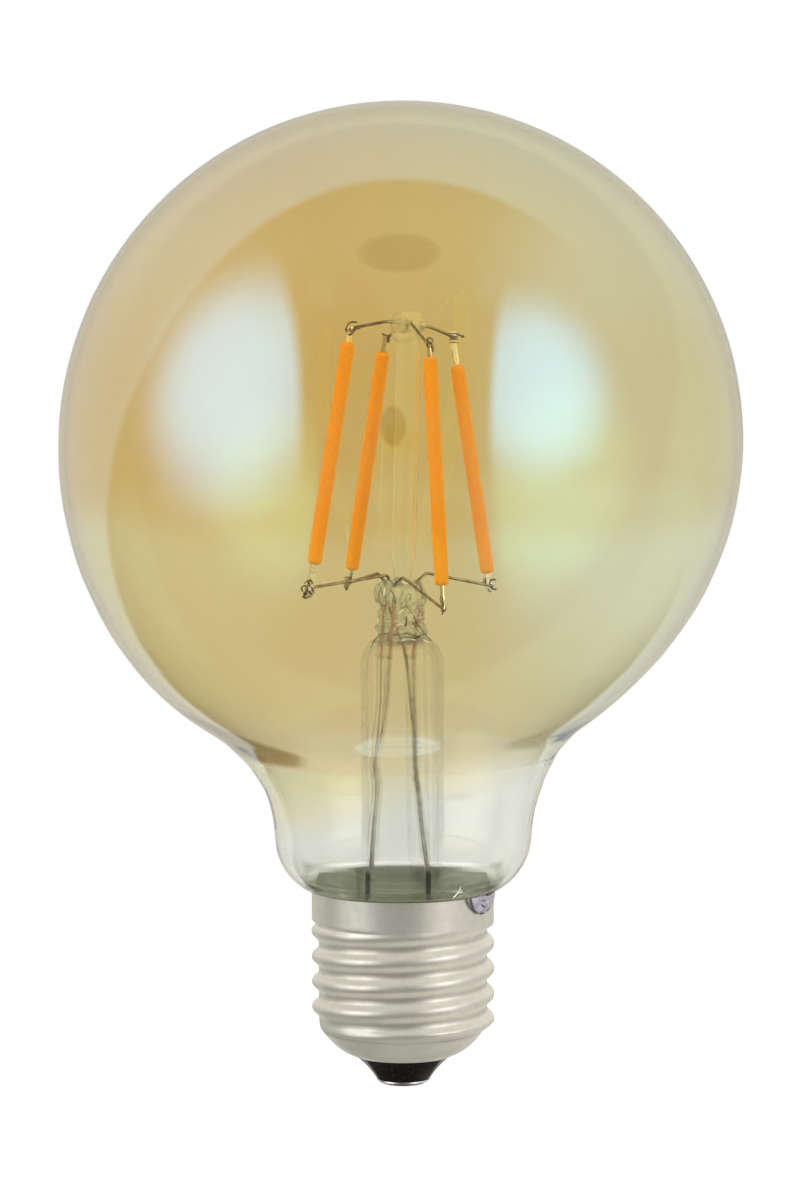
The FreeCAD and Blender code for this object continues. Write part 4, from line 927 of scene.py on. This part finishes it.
# The last, thickest bead along the rim is painted shade in the gap over the rim.
for thick, line in ((0.1, ((10.9, -7.75, 27.55), (11.5, -6.8, 27.4), (11.9, -5.9, 27.5))),
                    (0.09, ((11.2, -7.45, 26.9), (11.45, -6.9, 26.5), (11.75, -6.3, 26.45))),
                    (0.15, ((11.9, -6.6, 28.1), (12.5, -5.6, 28.25), (13.0, -4.6, 28.5), (13.5, -3.4, 28.8)))):
    bend_wire(flux, line, thick, 6)
finish_piece("flux_and_gap_shade", flux, flux_and_gap_shade)

# %% Painted highlight of a scratch on the heel
scratch = bmesh.new()
# Pale threads that glow weakly: a painted highlight where the scratch shines.
bend_wire(scratch, ((7.1, -11.3, 28.5), (7.6, -11.4, 29.0), (7.95, -11.7, 29.6), (8.1, -11.9, 30.1)), 0.09, 6)
bend_wire(scratch, ((7.6, -11.5, 29.2), (8.1, -11.4, 29.25), (8.4, -11.2, 29.3)), 0.07, 6)
finish_piece("heel_scratch", scratch, pale_strip)

# %% [markdown]
# ## Camera
#
# The bulb was photographed from the front with a long lens, from a little above. A long lens is what keeps
# the sphere's outline so round.

# %% The photographer's place
CAMERA_DISTANCE = 0.8
CAMERA_RISE = math.radians(5.8)
CAMERA_ROLL = math.radians(-0.2)
FOCAL_PIXELS, PICTURE_HEIGHT = 5642.9, 1200
aim = Vector((-0.00025, 0, 0.06943))
lens = bpy.data.cameras.new("camera")
lens.sensor_fit = "VERTICAL"
lens.sensor_height = 24
lens.lens = FOCAL_PIXELS / PICTURE_HEIGHT * lens.sensor_height
lens.clip_start = 0.01
camera = bpy.data.objects.new("camera", lens)
camera.location = aim + CAMERA_DISTANCE * Vector((0, -math.cos(CAMERA_RISE), math.sin(CAMERA_RISE)))
upright = Matrix.Rotation(math.radians(90) - CAMERA_RISE, 3, "X")
camera.rotation_euler = (upright @ Matrix.Rotation(CAMERA_ROLL, 3, "Z")).to_euler()
scene.collection.objects.link(camera)
scene.camera = camera
scene.view_settings.view_transform = "Standard"
print("lens", round(lens.lens, 1), "mm, camera at", [round(number, 3) for number in camera.location])

# %% [markdown]
# ## Studio
#
# A shiny bulb looks like what stands around it: a white sheet behind, a dim room in front that is lighter on
# the right, and two large softboxes, left and right of the camera. Real panels would show in the background,
# so the world draws them by direction instead. The sheet's edge shows in the globe as the long arc round its
# upper half. It is flatter than a circle, so the limit of the sheet bulges with the height. Where the
# photographer stood, a dark spot shows in the middle of the glass.

# %% Room and sheet
world = bpy.data.worlds.new("studio")
world.use_nodes = True
scene.world = world
sky = world.node_tree
direction = add(sky, "ShaderNodeTexCoord").outputs["Generated"]
toward = parts(sky, direction)


def alike(first, second):
    """How closely a direction in the sky agrees with another: 1 where they are the same."""
    return add(sky, "ShaderNodeVectorMath", {0: first, 1: second}, operation="DOT_PRODUCT").outputs["Value"]


off_level = maths(sky, "SUBTRACT", toward["Z"], 0.6)
bulge = product(sky, off_level, off_level, 0.5)
behind = maths(sky, "SUBTRACT", maths(sky, "ADD", toward["Y"], 0.31), bulge)
sheet = step(sky, behind, 0.42, 0.50)
flatness = step(sky, maths(sky, "ABSOLUTE", toward["Z"]), 0.4, 0.15)
front = blend_colours(sky, flatness, (0.10, 0.10, 0.10), (0.16, 0.16, 0.155))
photographer = step(sky, alike(direction, (0.0, -0.995, 0.101)), 0.993, 0.998)
front = blend_colours(sky, photographer, front, (0.0, 0.0, 0.0))
right_fill = product(sky, step(sky, toward["X"], 0.25, 0.85), 0.9)
left_fill = product(sky, step(sky, toward["X"], -0.35, -0.95), 0.18)
sides = blend_colours(sky, maths(sky, "MAXIMUM", right_fill, left_fill), front, (1.0, 1.0, 1.0))
far_end = blend_colours(sky, step(sky, toward["Y"], 0.78, 0.96), (0.85, 0.85, 0.84), (0.72, 0.69, 0.60))
room = blend_colours(sky, sheet, sides, far_end)

# %% [markdown]
# A softbox glows most in its middle and fades outwards. Its edge on the camera's side is cut straight, as the
# frame of a real one is, and that cut is what makes the sharp inner edges of the two lights in the globe.

# %% Two softboxes
def way_to(azimuth, rise):
    """A direction from the bulb, by its degrees to the right of the camera and its degrees upwards."""
    turn, tilt = math.radians(azimuth), math.radians(rise)
    return Vector((math.sin(turn) * math.cos(tilt), -math.cos(turn) * math.cos(tilt), math.sin(tilt)))


def softbox(azimuth, rise, reach, inner_edge, colour):
    """A lit patch of the sky, brightest in its middle, with a clear edge on the camera's side."""
    patch = step(sky, alike(direction, way_to(azimuth, rise)), math.cos(math.radians(reach)), 1.0)
    patch = maths(sky, "POWER", patch, 3.0)
    patch = product(sky, patch, step(sky, toward["X"], inner_edge, inner_edge * 1.16))
    return blend_colours(sky, patch, (0, 0, 0), colour)


left_box = softbox(-61, 19, 54, -0.505, (3.1, 3.1, 3.35))
right_box = softbox(47, 20, 44, 0.455, (2.7, 2.65, 2.95))
boxes = add(sky, "ShaderNodeVectorMath", {0: left_box, 1: right_box}, operation="ADD").outputs[0]
studio = add(sky, "ShaderNodeVectorMath", {0: boxes, 1: room}, operation="ADD").outputs[0]

# %% [markdown]
# The background has to be plain white, also where one looks at it through the glass. A ray that was only bent
# on its way has no mirrored and no scattered bounce behind it, and it gets white. All others get the studio.

# %% White straight through
path = add(sky, "ShaderNodeLightPath").outputs
bounces = maths(sky, "ADD", path["Diffuse Depth"], path["Glossy Depth"])
straight = maths(sky, "LESS_THAN", bounces, 0.5)
seen = blend_colours(sky, straight, studio, (1.0, 1.0, 1.0))
background = sky.nodes["Background"]
sky.links.new(seen, background.inputs["Color"])
background.inputs["Strength"].default_value = 1.0
print("world nodes", len(sky.nodes))

# %% [markdown]
# Two broad lamps stand where the softboxes are, and give the shading and the soft shadow on the floor. They
# don't show in reflections, because the world already draws the softboxes there.

# %% Lamps
LAMP_DISTANCE, LAMP_AIM = 0.8, Vector((0, 0, 0.07))
for name, azimuth, rise, power in (("left lamp", -58, 35, 3.0), ("right lamp", 50, 35, 2.2)):
    lamp = bpy.data.lights.new(name, "AREA")
    lamp.size = 0.5
    lamp.energy = power
    stand = bpy.data.objects.new(name, lamp)
    stand.location = LAMP_AIM + LAMP_DISTANCE * way_to(azimuth, rise)
    stand.rotation_euler = way_to(azimuth, rise).to_track_quat("Z", "Y").to_euler()
    stand.visible_glossy = False
    stand.visible_transmission = False
    scene.collection.objects.link(stand)
    print(name, "at", [round(number, 2) for number in stand.location])

# %% [markdown]
# The floor is a pale disc that takes the bulb's shadow. Away from the bulb it fades out into the world's white,
# so no horizon shows, outside the glass or through it. It glows nearly white to a straight look, and hardly
# at all to a ray that has bounced, so it doesn't light the bulb from below. Mirrored rays pass it by, so the
# glass shows only the studio.

# %% Floor
FLOOR_RADIUS, UNDER_CONTACT = 0.4, -0.0002
disc = bmesh.new()
bmesh.ops.create_circle(disc, cap_ends=True, segments=96, radius=FLOOR_RADIUS)
floor_mesh = bpy.data.meshes.new("floor")
disc.to_mesh(floor_mesh)
disc.free()
floor = bpy.data.objects.new("floor", floor_mesh)
floor.location.z = UNDER_CONTACT
scene.collection.objects.link(floor)

# %% How the floor shows
pale, tree, shader = finish_for("pale floor", (0.5, 0.5, 0.5), roughness=0.9)
path = add(tree, "ShaderNodeLightPath").outputs
bounces = maths(tree, "ADD", path["Glossy Depth"], path["Diffuse Depth"])
straight = maths(tree, "LESS_THAN", bounces, 0.5)
glow = blend_colours(tree, straight, (0.12, 0.12, 0.12), (0.95, 0.95, 0.95))
fill(shader, {"Emission Color": glow, "Emission Strength": 1.0})
from_bulb = add(tree, "ShaderNodeVectorMath", {0: place(tree)}, operation="LENGTH").outputs["Value"]
mirrored = maths(tree, "GREATER_THAN", path["Glossy Depth"], 0.5)
faded = maths(tree, "MAXIMUM", mirrored, step(tree, from_bulb, 0.05, 0.16))
show_mix(tree, faded, shader, add(tree, "ShaderNodeBsdfTransparent"))
floor.data.materials.append(pale)
